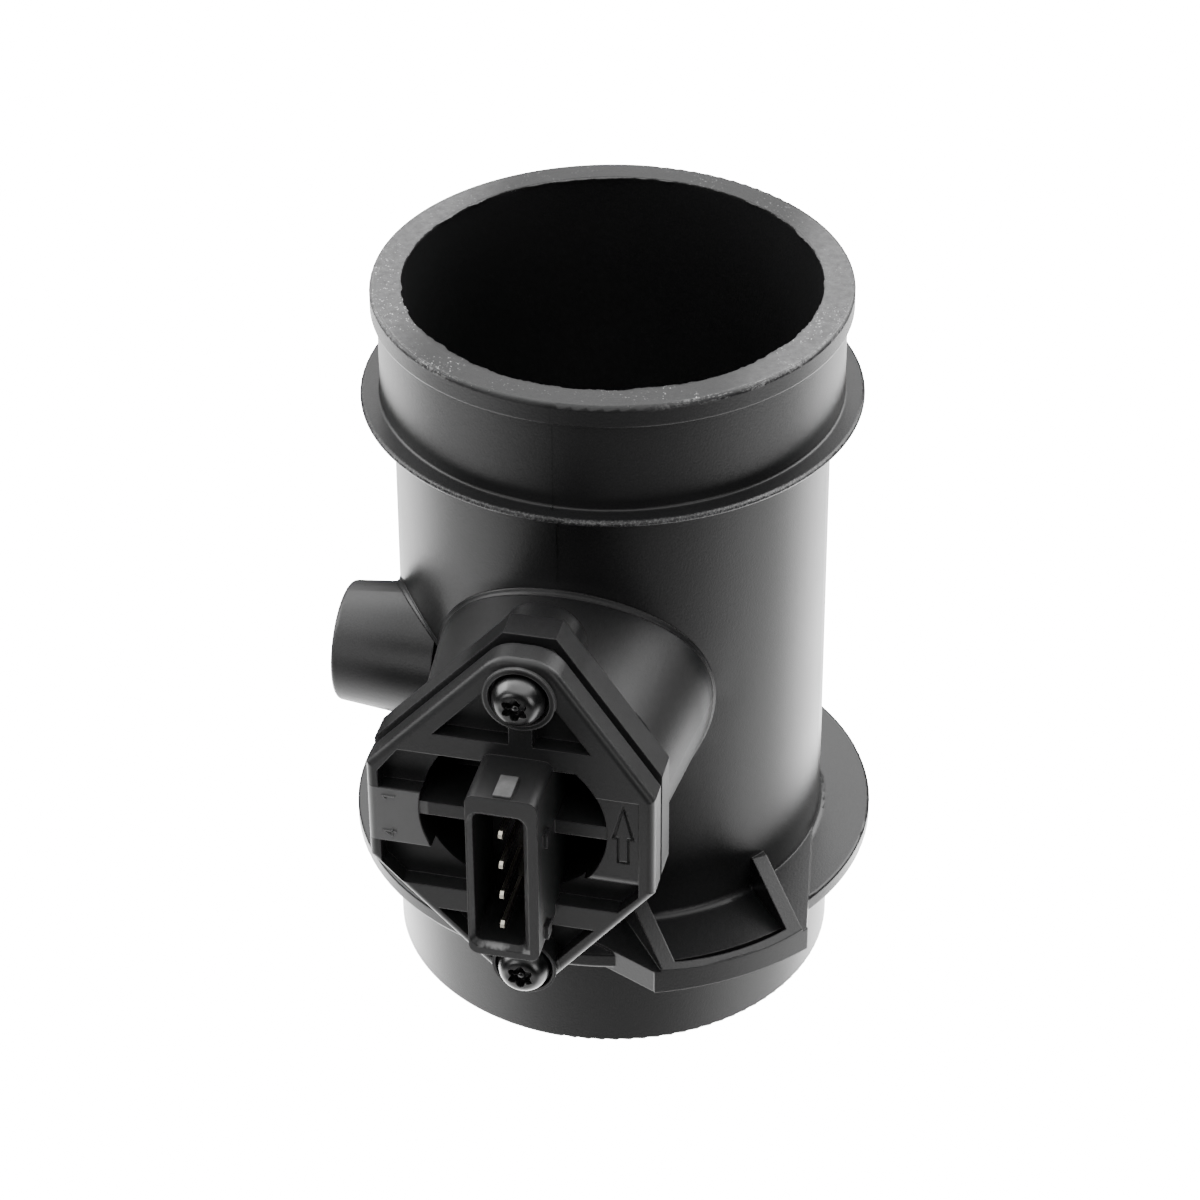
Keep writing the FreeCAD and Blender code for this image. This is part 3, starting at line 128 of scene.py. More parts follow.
class Nodes:
    """Adds nodes to one tree."""

    def __init__(self, tree):
        self.tree = tree

    def add(self, kind, settings=None, entries=None, output=0):
        """Add a node with its settings and the values or links of its sockets; gives one output."""
        node = self.tree.nodes.new(kind)
        for name, setting in (settings or {}).items():
            setattr(node, name, setting)
        for name, value in (entries or {}).items():
            feed(node.inputs[name], value)
        return Amount(node.outputs[output])

    def step(self, amount, low, high):
        """0 below low, 1 above high, and smooth between them."""
        return self.add("ShaderNodeMapRange", {"interpolation_type": "SMOOTHSTEP"},
                        {"Value": amount, "From Min": low, "From Max": high})

    def mix(self, share, first, second):
        """Colour between two colours, on the Mix node's own sockets for colours."""
        return self.add("ShaderNodeMix", {"data_type": "RGBA"}, {0: share, 6: first, 7: second}, output=2)

    def parts(self, vector):
        """The three coordinates of a vector."""
        split = self.tree.nodes.new("ShaderNodeSeparateXYZ")
        feed(split.inputs[0], vector)
        return [Amount(socket) for socket in split.outputs]


# How bright the room is in each direction: the sheet below, the wall behind and the ceiling.
world = bpy.data.worlds.new("studio")
world.use_nodes = True
bpy.context.scene.world = world
room = Nodes(world.node_tree)
look = room.add("ShaderNodeTexCoord", output="Generated")
look_x, look_y, look_z = room.parts(look)
towards_front = look_x * math.sin(view_turn) - look_y * math.cos(view_turn)
beside = 1 - room.step(towards_front, 0.1, 0.75)
behind = 1 - room.step(towards_front, -0.7, -0.1)
below = 1 - room.step(look_z, -0.66, -0.38)
above = room.step(look_z, 0.45, 0.85)
back_wall = (1 - room.step(towards_front, -0.75, 0.0)) * room.step(look_z, 0.3, 0.6)
glow = below * (0.05 + 0.3 * beside + 0.65 * behind) + 0.2 * above + 0.35 * back_wall
background = world.node_tree.nodes["Background"]
feed(background.inputs["Color"], room.mix(glow, (0, 0, 0, 1), (1, 1, 1, 1)))
background.inputs["Strength"].default_value = 9.6

lamp_aim = Vector((0, 0, 0.05))


def soft_lamp(name, at, width, height, power):
    """A soft box that faces the tube, with its sizes in metres and its power in watts."""
    light = bpy.data.lights.new(name, "AREA")
    light.shape = "RECTANGLE"
    light.size = width
    light.size_y = height
    light.energy = power
    lamp = bpy.data.objects.new(name, light)
    lamp.location = at
    lamp.rotation_euler = (lamp_aim - Vector(at)).to_track_quat("-Z", "Y").to_euler()
    bpy.context.collection.objects.link(lamp)


soft_lamp("lamp_left", (-0.78, 0.0, 0.45), 0.6, 0.6, 5.6)
soft_lamp("lamp_right", (0.52, 0.52, 0.5), 0.7, 0.6, 6.5)
soft_lamp("lamp_low_left", (-0.44, -0.76, 0.24), 0.35, 0.4, 1.1)
soft_lamp("lamp_low_right", (0.67, -0.57, 0.24), 0.35, 0.4, 1.2)

# The sheet shows as plain white, and the light that it would throw comes from the room's glow.
sheet = bpy.data.materials.new("white_sheet")
sheet.use_nodes = True
sheet_nodes = Nodes(sheet.node_tree)
sheet_place = sheet_nodes.add("ShaderNodeTexCoord", output="Object")
sheet_fibre = sheet_nodes.add("ShaderNodeTexNoise", {}, {
    "Vector": sheet_place, "Scale": 900.0, "Detail": 2.0})
sheet_tone = sheet_nodes.mix(sheet_fibre, (0.91, 0.91, 0.91, 1), (0.93, 0.93, 0.93, 1))
sheet_shader = sheet.node_tree.nodes["Principled BSDF"]
sheet_shader.inputs["Roughness"].default_value = 0.8
sheet_shader.inputs["Emission Strength"].default_value = 16.0
feed(sheet_shader.inputs["Base Color"], sheet_tone)
floor_mesh = bpy.data.meshes.new("floor")
floor_mesh.from_pydata([(-3, -3, 0), (3, -3, 0), (3, 3, 0), (-3, 3, 0)], [], [(0, 1, 2, 3)])
floor_mesh.materials.append(sheet)
floor = bpy.data.objects.new("floor", floor_mesh)
floor.visible_glossy = False
floor.visible_diffuse = False
floor.visible_shadow = False
bpy.context.collection.objects.link(floor)


# Tube
# One moulding of black glass-filled nylon, with the spigot, flange, bead, lip, boss and stub.
# The outlet's rim is trimmed after moulding, so it is pale and rough, with a burr inside.

# Heights from the inlet's end, and distances from the tube's axis, are in millimetres.
MM = 0.001
WALL_RADIUS = 36.3
RIM_HEIGHT = 130.0
BOSS_HEIGHT = 70.0
STUB_FORWARD = 19.0
STUB_HEIGHT = 65.0


class Finish(Nodes):
    """One finish of the sensor: a material built on a single surface shader."""

    def __init__(self, name, **constants):
        self.material = bpy.data.materials.new(name)
        self.material.use_nodes = True
        super().__init__(self.material.node_tree)
        self.shader = self.tree.nodes["Principled BSDF"]
        for socket, value in constants.items():
            self.shader.inputs[socket.replace("_", " ")].default_value = value
        self.place = self.add("ShaderNodeTexCoord", output="Object")

    def beyond(self, amount, low, high):
        """0 below low and 1 above high, where both are in millimetres."""
        return self.step(amount, low * MM, high * MM)

    def inside(self, amount, low, high, edge):
        """1 where an amount lies between two limits in millimetres, with soft edges."""
        return (self.beyond(amount, low - edge, low + edge)
                * (1 - self.beyond(amount, high - edge, high + edge)))

    def noise(self, scale, detail=2.0, roughness=0.5, stretch=None):
        """Cloudy pattern from 0 to 1; scale counts its grains in a metre."""
        vector = self.place
        if stretch:
            vector = self.add("ShaderNodeMapping", {}, {"Vector": vector, "Scale": stretch})
        return self.add("ShaderNodeTexNoise", {}, {
            "Vector": vector, "Scale": scale, "Detail": detail, "Roughness": roughness})

    def dots(self, scale, size):
        """Small scattered dots, 1 inside and 0 outside."""
        distance = self.add("ShaderNodeTexVoronoi", {}, {"Vector": self.place, "Scale": scale})
        return 1 - self.step(distance, size * 0.5, size)

    def set(self, socket, amount):
        feed(self.shader.inputs[socket], amount)

    def relief(self, height, depth, edge=0.0002):
        """Bumps of this depth, on edges that look rounded by this radius, both in metres."""
        soft = self.add("ShaderNodeBevel", {"samples": 6}, {"Radius": edge})
        self.set("Normal", self.add("ShaderNodeBump", {}, {
            "Height": height, "Strength": 1.0, "Distance": depth, "Normal": soft}))


tube_finish = Finish("housing_plastic", IOR=1.5, Specular_IOR_Level=0.5)
tube_x, tube_y, tube_z = tube_finish.parts(tube_finish.place)
tube_radius = (tube_x * tube_x + tube_y * tube_y) ** 0.5
grain = tube_finish.noise(3200.0, 3.0, 0.6)
cloud = tube_finish.noise(45.0, 3.0)

# The trimmed rim is scraped pale, with pale specks at the front. Painted highlight: the scrape is made paler
# at the left and right sides, and pale streaks are painted along the lip's edge at the front's sides.
rim_face = tube_finish.beyond(tube_z, RIM_HEIGHT - 0.8, RIM_HEIGHT - 0.1)
rim_scrape = tube_finish.noise(700.0, 4.0, 0.7)
around = tube_finish.add("ShaderNodeMath", {"operation": "ARCTAN2"}, {0: tube_x, 1: tube_y})
turned_place = tube_finish.add("ShaderNodeCombineXYZ", {}, {"X": tube_radius, "Y": around * 0.0012})
rim_turning = tube_finish.add("ShaderNodeTexNoise", {}, {
    "Vector": turned_place, "Scale": 5000.0, "Detail": 3.0, "Roughness": 0.6})
# Painted highlight: the scraped rim is made paler at its left and right sides, where the side lamps catch it.
rim_side_highlight = tube_finish.beyond(abs(tube_x), 22.0, 34.0)
front_half = 1 - tube_finish.beyond(tube_y, -12.0, 12.0)
front_sides = tube_finish.beyond(abs(tube_x), 12.0, 24.0) * front_half
speck_groups = tube_finish.step(tube_finish.noise(1100.0, 3.0, 0.7), 0.5, 0.6)
speck_areas = tube_finish.step(tube_finish.noise(150.0), 0.42, 0.6)
rim_specks = tube_finish.dots(2600.0, 0.36) * speck_groups * (0.25 + 0.75 * front_sides) * speck_areas
# Painted highlight: pale streaks along the lip's rounded outer edge, at the front's sides.
lip_edge = (tube_finish.beyond(tube_radius, 38.3, 38.8)
            * tube_finish.beyond(tube_z, RIM_HEIGHT - 1.1, RIM_HEIGHT - 0.7))
lip_highlight_streaks = tube_finish.step(rim_turning, 0.42, 0.6)
lip_highlight_patches = tube_finish.step(tube_finish.noise(1500.0, 3.0, 0.7), 0.4, 0.6)
rim_lip_highlight = lip_edge * lip_highlight_streaks * lip_highlight_patches * front_sides

# Painted glare: the stub's left end is painted paler, and it is rougher there. The bead's edge has a painted
# glint and small nicks, and the boss is more matt.
stub_forward = tube_y + STUB_FORWARD * MM
stub_rise = tube_z - STUB_HEIGHT * MM
from_stub = (stub_forward * stub_forward + stub_rise * stub_rise) ** 0.5
stub_end_glare = (1 - tube_finish.beyond(tube_x, -42.0, -29.0)) * (1 - tube_finish.beyond(from_stub, 12.0, 12.8))
# Painted glint on the bead's rounded edge. The same pattern makes its small nicks in the relief.
bead_edge = (tube_finish.beyond(tube_radius, 40.7, 41.2) * tube_finish.beyond(tube_z, 109.2, 109.6)
             * (1 - tube_finish.beyond(tube_z, 110.5, 110.8)))
bead_glint_and_nicks = bead_edge * tube_finish.step(tube_finish.noise(2600.0, 2.0, 0.7), 0.45, 0.65)
boss_rise = tube_z - BOSS_HEIGHT * MM
from_boss = (tube_x * tube_x + boss_rise * boss_rise) ** 0.5
boss_matte = (1 - tube_finish.beyond(from_boss, 24.0, 26.0)) * (1 - tube_finish.beyond(tube_y, -36.0, -30.0))

body_tone = tube_finish.mix(cloud, (0.0095, 0.0095, 0.0098, 1), (0.0135, 0.0135, 0.014, 1))
scrape_and_side_highlight = rim_scrape * (0.06 + 0.94 * rim_side_highlight)
rim_tone = tube_finish.mix(scrape_and_side_highlight, (0.009, 0.009, 0.0092, 1), (0.2, 0.2, 0.202, 1))
rim_worn_and_lit_tone = tube_finish.mix(rim_face, body_tone, rim_tone)
# Painted glare on the stub's left end.
stub_glare_tone = tube_finish.mix(stub_end_glare * (0.6 + 0.4 * cloud), rim_worn_and_lit_tone, (0.05, 0.05, 0.0505, 1))
edge_highlight_tone = tube_finish.mix(0.25 * bead_glint_and_nicks + 0.6 * rim_lip_highlight, stub_glare_tone, (0.35, 0.35, 0.35, 1))
tube_finish.set("Base Color", tube_finish.mix(rim_face * rim_specks, edge_highlight_tone, (0.75, 0.75, 0.75, 1)))
tube_finish.set("Roughness", 0.27 + 0.08 * cloud + 0.05 * grain + 0.2 * rim_face + 0.12 * stub_end_glare
                + 0.16 * boss_matte)
tube_finish.relief(grain + 1.5 * rim_face * rim_turning + 0.6 * bead_glint_and_nicks, 0.03 * MM, 0.3 * MM)
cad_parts["tube_housing"].material_slots[0].material = tube_finish.material


def piece(name, points, faces, finish):
    """Mesh piece from points in millimetres, with its faces outwards and riding on the sensor."""
    mesh = bpy.data.meshes.new(name)
    mesh.from_pydata([tuple(value * MM for value in point) for point in points], [], faces)
    shell = bmesh.new()
    shell.from_mesh(mesh)
    bmesh.ops.remove_doubles(shell, verts=shell.verts, dist=1e-7)
    bmesh.ops.recalc_face_normals(shell, faces=shell.faces)
    shell.to_mesh(mesh)
    shell.free()
    mesh.shade_smooth()
    mesh.set_sharp_from_angle(angle=math.radians(40))
    mesh.materials.append(finish.material)
    made = bpy.data.objects.new(name, mesh)
    bpy.context.collection.objects.link(made)
    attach(made, "root")
    return made


def swept(rows, closed):
    """Points and faces of a bar whose cross-sections are the rows; it ends in caps or in itself."""
    count = len(rows[0])
    points = [point for row in rows for point in row]
    pairs = list(zip(range(len(rows)), range(1, len(rows))))
    if closed:
        pairs.append((len(rows) - 1, 0))
    faces = [
        (a * count + n, a * count + (n + 1) % count, b * count + (n + 1) % count, b * count + n)
        for a, b in pairs for n in range(count)
    ]
    if not closed:
        faces.append(tuple(range(count)))
        faces.append(tuple((len(rows) - 1) * count + n for n in range(count)))
    return points, faces


def root_fillet(name, axis_point, outward, branch_radius, fillet, steps):
    """Moulded fillet where a round branch meets the tube, all the way round the branch.

    outward is the branch's axis, branch_radius gives its radius at a distance out, and fillet is
    the fillet's own radius. The branch tapers, so the distance out is found in a few rounds."""
    side = Vector((0, 0, 1)).cross(outward)
    rows = []
    for number in range(steps):
        turn = 2 * math.pi * number / steps
        spoke = math.cos(turn) * Vector((0, 0, 1)) + math.sin(turn) * side
        out = 30.0
        for _ in range(8):
            beside_branch = axis_point + spoke * (branch_radius(out) + fillet)
            foot = beside_branch - outward * beside_branch.dot(outward)
            level = Vector((foot.x, foot.y, 0)).length
            reach = (WALL_RADIUS + fillet) ** 2 - level ** 2
            out = math.sqrt(max(reach, 0.0))
        centre = foot + outward * out
        to_branch = -spoke
        to_tube = Vector((-centre.x, -centre.y, 0)).normalized()
        arc = []
        for share in range(7):
            lean = to_branch.slerp(to_tube, share / 6)
            arc.append(centre + lean * fillet)
        corner = centre + (to_branch + to_tube).normalized() * fillet * 1.9
        rows.append([tuple(point) for point in arc] + [tuple(corner)])
    piece(name, *swept(rows, True), tube_finish)


def boss_radius(out):
    """Radius of the boss, which tapers, at a distance from the tube's axis."""
    return 24.0 - (out - 20.6) * 0.0925


def stub_radius(out):
    """Radius of the hose stub, which tapers, at a distance from the tube's axis."""
    return 12.0 - (out - 24.0) * 0.1


root_fillet("boss_root", Vector((0, 0, BOSS_HEIGHT)), Vector((0, -1, 0)), boss_radius, 0.9, 144)
root_fillet("stub_root", Vector((0, -STUB_FORWARD, STUB_HEIGHT)), Vector((-1, 0, 0)), stub_radius, 0.8, 96)

# Mould parting lines, one at the front above the boss and one down the back. Each is a fine
# ridge, and its outline gives the radius and the height of the surface that it lies on.
RIDGE_HALF_WIDTH = 0.07
RIDGE_PROUD = 0.05
RIDGE_SUNK = 0.3
bead_and_lip = [
    (41.45, 109.7), (41.45, 110.1), (38.2, 110.6), (38.2, 126.2), (39.3, 126.4), (39.25, RIM_HEIGHT - 0.7)]
flange_and_back = [(38.3, 0.8), (38.3, 22.2), (45.35, 22.9), (45.35, 25.6), (36.5, 26.6), (36.1, 108.0)]
for name, turn, outline in (
    ("parting_line_front", math.radians(-1.2), [(36.2, 94.6), (36.15, 108.0)] + bead_and_lip),
    ("parting_line_back", math.radians(178.8), flange_and_back + bead_and_lip),
):
    ahead = Vector((math.sin(turn), -math.cos(turn), 0))
    sideways = Vector((math.cos(turn), math.sin(turn), 0)) * RIDGE_HALF_WIDTH
    rows = []
    for radius, height in outline:
        lift = Vector((0, 0, height))
        foot = ahead * (radius - RIDGE_SUNK) + lift
        crest = ahead * (radius + RIDGE_PROUD) + lift
        rows.append([tuple(foot + sideways), tuple(crest), tuple(foot - sideways)])
    piece(name, *swept(rows, False), tube_finish)


def profile_at(turn, profile):
    """Points of a profile of radii and heights, turned round the tube's axis."""
    way = Vector((math.cos(turn), math.sin(turn), 0))
    return [tuple(way * radius + Vector((0, 0, height))) for radius, height in profile]


# Burr that the trimming knife left along the rim's inner edge. Its width wanders round the rim.
BORE_RADIUS = 34.3
BURR_STEPS = 720
chance = random.Random(7)
burr_rows = []
burr_width = 0.1
for number in range(BURR_STEPS):
    burr_width = min(0.75, max(0.04, burr_width + chance.uniform(-0.13, 0.12)))
    burr_rows.append(profile_at(2 * math.pi * number / BURR_STEPS, (
        (BORE_RADIUS + 0.2, RIM_HEIGHT - 0.02), (BORE_RADIUS - burr_width, RIM_HEIGHT - 0.04),
        (BORE_RADIUS - burr_width * 0.7, RIM_HEIGHT - 0.2), (BORE_RADIUS + 0.2, RIM_HEIGHT - 0.4))))
piece("rim_burr", *swept(burr_rows, True), tube_finish)


# Flow straightener and its ring
# A disc of six-sided cells, moulded in the same black nylon and pressed into the inlet.

cell_finish = Finish("straightener_plastic", IOR=1.5)
cell_cloud = cell_finish.noise(120.0, 3.0)
cell_finish.set("Base Color", cell_finish.mix(cell_cloud, (0.012, 0.012, 0.012, 1), (0.02, 0.02, 0.021, 1)))
cell_finish.set("Roughness", 0.42 + 0.14 * cell_cloud)
cell_finish.relief(cell_finish.noise(2800.0, 2.0), 0.02 * MM)
for name in ("flow_straightener", "screen_ring"):
    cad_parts[name].material_slots[0].material = cell_finish.material


# Inlet screen
# Stainless wire cloth, plain weave, in a stamped steel frame.
# It keeps leaves and crumbs of the filter off the sensor.

wire_finish = Finish("stainless_wire", Metallic=1.0)
wire_stain = wire_finish.noise(260.0, 3.0)
wire_finish.set("Base Color", wire_finish.mix(wire_stain, (0.42, 0.41, 0.4, 1), (0.62, 0.61, 0.6, 1)))
wire_finish.set("Roughness", 0.28 + 0.2 * wire_stain)


def new_tree(name, sizes):
    """Geometry tree with named number inputs, and its input and output nodes."""
    tree = bpy.data.node_groups.new(name, "GeometryNodeTree")
    tree.interface.new_socket("Geometry", in_out="INPUT", socket_type="NodeSocketGeometry")
    for size in sizes:
        tree.interface.new_socket(size, in_out="INPUT", socket_type="NodeSocketFloat")
    tree.interface.new_socket("Finish", in_out="INPUT", socket_type="NodeSocketMaterial")
    tree.interface.new_socket("Geometry", in_out="OUTPUT", socket_type="NodeSocketGeometry")
    return tree, tree.nodes.new("NodeGroupInput"), tree.nodes.new("NodeGroupOutput")


def geometry_piece(name, tree, values):
    """Run a geometry tree once and keep its result as a plain mesh piece."""
    carrier = bpy.data.objects.new(name + "_maker", bpy.data.meshes.new(name + "_maker"))
    bpy.context.collection.objects.link(carrier)
    maker = carrier.modifiers.new("maker", "NODES")
    maker.node_group = tree
    for item in tree.interface.items_tree:
        if item.item_type == "SOCKET" and item.in_out == "INPUT" and item.name in values:
            maker[item.identifier] = values[item.name]
    graph = bpy.context.evaluated_depsgraph_get()
    mesh = bpy.data.meshes.new_from_object(carrier.evaluated_get(graph))
    carrier.modifiers.clear()
    bpy.data.objects.remove(carrier)
    mesh.name = name
    made = bpy.data.objects.new(name, mesh)
    bpy.context.collection.objects.link(made)
    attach(made, "root")
    return made


cloth_tree, cloth_in, cloth_out = new_tree("wire_cloth", ("Reach", "Pitch", "Wire", "Height"))
cloth = Nodes(cloth_tree)
cloth_sizes = {socket.name: Amount(socket) for socket in cloth_in.outputs if socket.name}


def wires(turned):
    """One layer of the cloth: crimped wires along X, side by side along Y, or turned along Y."""
    reach, pitch, wire = cloth_sizes["Reach"], cloth_sizes["Pitch"], cloth_sizes["Wire"]
    half_count = cloth.add("ShaderNodeMath", {"operation": "FLOOR"}, {0: reach / pitch})
    count = half_count * 2 + 1
    start = cloth.add("ShaderNodeCombineXYZ", {}, {"Y": half_count * pitch * -1})
    stride = cloth.add("ShaderNodeCombineXYZ", {}, {"Y": pitch})
    line = cloth.add("GeometryNodeMeshLine", {}, {"Count": count, "Start Location": start, "Offset": stride})
    left = cloth.add("ShaderNodeCombineXYZ", {}, {"X": half_count * pitch * -1})
    right = cloth.add("ShaderNodeCombineXYZ", {}, {"X": half_count * pitch})
    strand = cloth.add("GeometryNodeCurvePrimitiveLine", {}, {"Start": left, "End": right})
    fine = cloth.add("GeometryNodeResampleCurve", {}, {"Curve": strand, "Count": count * 2 - 1})
    many = cloth.add("GeometryNodeInstanceOnPoints", {}, {"Points": line, "Instance": fine})
    loose = cloth.add("GeometryNodeRealizeInstances", {}, {"Geometry": many})
    here = cloth.add("GeometryNodeInputPosition")
    x, y, _ = cloth.parts(here)
    crimp = cloth.add("ShaderNodeMath", {"operation": "COSINE"}, {0: x / pitch * math.pi})
    side = cloth.add("ShaderNodeMath", {"operation": "COSINE"}, {0: y / pitch * math.pi})
    lift = crimp * side * wire * 0.5
    if turned:
        lift = lift * -1
    offset = cloth.add("ShaderNodeCombineXYZ", {}, {"Z": lift + cloth_sizes["Height"]})
    crimped = cloth.add("GeometryNodeSetPosition", {}, {"Geometry": loose, "Offset": offset})
    from_axis = (x * x + y * y) ** 0.5
    outside = cloth.add("ShaderNodeMath", {"operation": "GREATER_THAN"}, {0: from_axis, 1: reach})
    trimmed = cloth.add("GeometryNodeDeleteGeometry", {"domain": "POINT"}, {
        "Geometry": crimped, "Selection": outside})
    section = cloth.add("GeometryNodeCurvePrimitiveCircle", {}, {"Resolution": 5, "Radius": wire * 0.5})
    solid = cloth.add("GeometryNodeCurveToMesh", {}, {
        "Curve": trimmed, "Profile Curve": section, "Fill Caps": True})
    if not turned:
        return solid
    return cloth.add("GeometryNodeTransform", {}, {"Geometry": solid, "Rotation": (0, 0, math.pi / 2)})


join = cloth_tree.nodes.new("GeometryNodeJoinGeometry")
for layer in (wires(False), wires(True)):
    cloth_tree.links.new(layer.socket, join.inputs[0])
plain = cloth.add("GeometryNodeRealizeInstances", {}, {"Geometry": Amount(join.outputs[0])})
dressed = cloth.add("GeometryNodeSetMaterial", {}, {"Geometry": plain, "Material": cloth_sizes["Finish"]})
feed(cloth_out.inputs[0], dressed)
wire_cloth = geometry_piece("wire_cloth", cloth_tree, {
    "Reach": 35.3 * MM, "Pitch": 1.7 * MM, "Wire": 0.32 * MM, "Height": 11.4 * MM,
    "Finish": wire_finish.material})

# Stamped frame that holds the cloth's edge: its rounded profile, from radii and heights.
FRAME_STEPS = 160
frame_profile = (
    (36.15, 10.85), (36.15, 11.95), (36.05, 12.0), (34.5, 12.0),
    (34.35, 11.9), (34.35, 10.9), (34.5, 10.8), (36.05, 10.8))
frame_rows = [profile_at(2 * math.pi * number / FRAME_STEPS, frame_profile) for number in range(FRAME_STEPS)]
piece("screen_frame", *swept(frame_rows, True), wire_finish)
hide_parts("inlet_screen")


# Connector plate
# One moulding of black glass-filled polyester: the six-sided face, the plug's shell and the stem.
# It has a finer surface than the tube, and its pockets keep the wall thickness even.

plate_finish = Finish("module_plastic", IOR=1.5)
plate_grain = plate_finish.noise(4200.0, 3.0, 0.6)
plate_cloud = plate_finish.noise(80.0, 3.0)
plate_flow = plate_finish.noise(300.0, 3.0, 0.6, (1.0, 1.0, 0.25))
plate_x, plate_y, plate_z = plate_finish.parts(plate_finish.place)
plate_out = plate_y * -1

# The key on the plug is rubbed pale by the mating plug's catch.
key_rub = (plate_finish.inside(plate_x, -1.8, 1.1, 0.1) * plate_finish.beyond(plate_out, 68.4, 69.4)
           * plate_finish.beyond(plate_z, 80.5, 80.8))

# The edges of the plug's mouth are rubbed too, most at its lower end.
MOUTH_LEFT = 1.2
MOUTH_HEIGHT = 63.7
MOUTH_HALF_WIDTH = 4.05
MOUTH_HALF_LENGTH = 12.7
past_side = abs(plate_x + MOUTH_LEFT * MM) - MOUTH_HALF_WIDTH * MM
past_end = abs(plate_z - MOUTH_HEIGHT * MM) - MOUTH_HALF_LENGTH * MM
past_mouth = plate_finish.add("ShaderNodeMath", {"operation": "MAXIMUM"}, {0: past_side, 1: past_end})
plug_front = plate_finish.beyond(plate_out, 73.6, 74.0)
rubbed_streaks = plate_finish.step(plate_flow, 0.42, 0.62)
mouth_rub = plug_front * plate_finish.inside(past_mouth, -0.1, 0.9, 0.1) * rubbed_streaks
lower_mouth = 1 - plate_finish.beyond(plate_z, 50.6, 51.2)

# The pad at the plate's left is painted paler as painted light, and the screws' seats have painted highlights
# on their ring edges.
PLATE_FACE = 64.0
SCREW_HEIGHTS = (92.0, 38.4)
plate_front = plate_finish.beyond(plate_out, PLATE_FACE - 0.5, PLATE_FACE - 0.2)
# Painted light: the pad is made paler where light from the left reaches it. The plug shades the face to its
# right.
lit_pad = (plate_finish.inside(plate_z, 60.1, 70.6, 0.1) * (1 - plate_finish.beyond(plate_x, -15.6, -15.2))
       * plate_front)
plate_tone = plate_finish.mix(plate_cloud, (0.011, 0.011, 0.0113, 1), (0.017, 0.017, 0.0175, 1))
lit_pad_tone = plate_finish.mix(lit_pad, plate_tone, (0.12, 0.12, 0.121, 1))
# Painted highlight: thin pale rings on each seat's outer and inner edges.
seat_edge_highlight = 0
for screw_height in SCREW_HEIGHTS:
    rise = plate_z - screw_height * MM
    from_screw = (plate_x * plate_x + rise * rise) ** 0.5
    outer_ring = plate_finish.inside(from_screw, 5.55, 5.85, 0.06)
    inner_ring = plate_finish.inside(from_screw, 4.85, 5.05, 0.06)
    seat_edge_highlight = seat_edge_highlight + (outer_ring + inner_ring) * plate_front
rubbed_and_highlit = (key_rub * (0.55 * plate_flow) + seat_edge_highlight * (0.35 * plate_flow)
          + mouth_rub * (0.1 + 0.6 * lower_mouth))
plate_finish.set("Base Color", plate_finish.mix(rubbed_and_highlit, lit_pad_tone, (0.35, 0.35, 0.35, 1)))
plate_finish.set("Roughness", 0.32 + 0.1 * plate_cloud + 0.08 * plate_flow)
plate_finish.relief(plate_grain + 0.8 * plate_flow, 0.02 * MM, 0.25 * MM)
for name in ("connector_plate", "circuit_cover", "channel_cover"):
    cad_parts[name].material_slots[0].material = plate_finish.material

# Pin numbers, raised on the pad at the plate's left, a quarter turn round with their tops to
# the left. Each is one bar along its strokes, which are given as shares of its size.
DIGIT_SIZE = 2.1
DIGIT_LEFT = 21.7
STROKE_HALF_WIDTH = 0.13
for digit, digit_height, strokes in (
    ("1", 69.0, [(0.12, 0.72), (0.42, 1.0), (0.42, 0.0)]),
    ("4", 61.9, [(0.48, 0.0), (0.48, 1.0), (0.02, 0.32), (0.68, 0.32)]),
):
    line = [
        Vector((-DIGIT_LEFT + (0.5 - up) * DIGIT_SIZE, digit_height + (right - 0.35) * DIGIT_SIZE))
        for right, up in strokes
    ]
    rows = []
    for number, point in enumerate(line):
        before = (point - line[max(number - 1, 0)]).normalized()
        after = (line[min(number + 1, len(line) - 1)] - point).normalized()
        along = (before + after).normalized()
        widen = 1.0 if number in (0, len(line) - 1) else 1 / max(0.5, along.dot(after))
        sideways = Vector((-along.y, along.x)) * (STROKE_HALF_WIDTH * widen)
        rows.append([
            (point.x + sideways.x * share, -out, point.y + sideways.y * share)
            for share, out in (
                (1.0, PLATE_FACE - 0.1), (0.7, PLATE_FACE + 0.2),
                (-0.7, PLATE_FACE + 0.2), (-1.0, PLATE_FACE - 0.1))
        ])
    piece("pin_number_" + digit, *swept(rows, False), plate_finish)


# Terminals
# Stamped and tinned brass strips, set in the plate's mould; their ends are the plug's pins.

tin_finish = Finish("tinned_brass", Metallic=1.0)
tin_streak = tin_finish.noise(900.0, 3.0, 0.6, (1.0, 0.2, 1.0))
tin_finish.set("Base Color", tin_finish.mix(tin_streak, (0.62, 0.58, 0.5, 1), (0.82, 0.78, 0.68, 1)))
tin_finish.set("Roughness", 0.22 + 0.16 * tin_streak)
tin_finish.relief(tin_streak, 0.01 * MM, 0.1 * MM)
for number in (1, 2, 3, 4):
    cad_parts["terminal_%d" % number].material_slots[0].material = tin_finish.material


# Base plate and sensor carrier
# Bare aluminium sheet, brushed along its length; the base plate leads the board's heat away.

sheet_finish = Finish("aluminium_sheet", Metallic=1.0)
brushing = sheet_finish.noise(1500.0, 3.0, 0.6, (1.0, 0.05, 1.0))
sheet_finish.set("Base Color", sheet_finish.mix(brushing, (0.6, 0.6, 0.61, 1), (0.78, 0.78, 0.79, 1)))
sheet_finish.set("Roughness", 0.3 + 0.18 * brushing)
sheet_finish.relief(brushing, 0.01 * MM, 0.1 * MM)
for name in ("base_plate", "sensor_carrier"):
    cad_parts[name].material_slots[0].material = sheet_finish.material


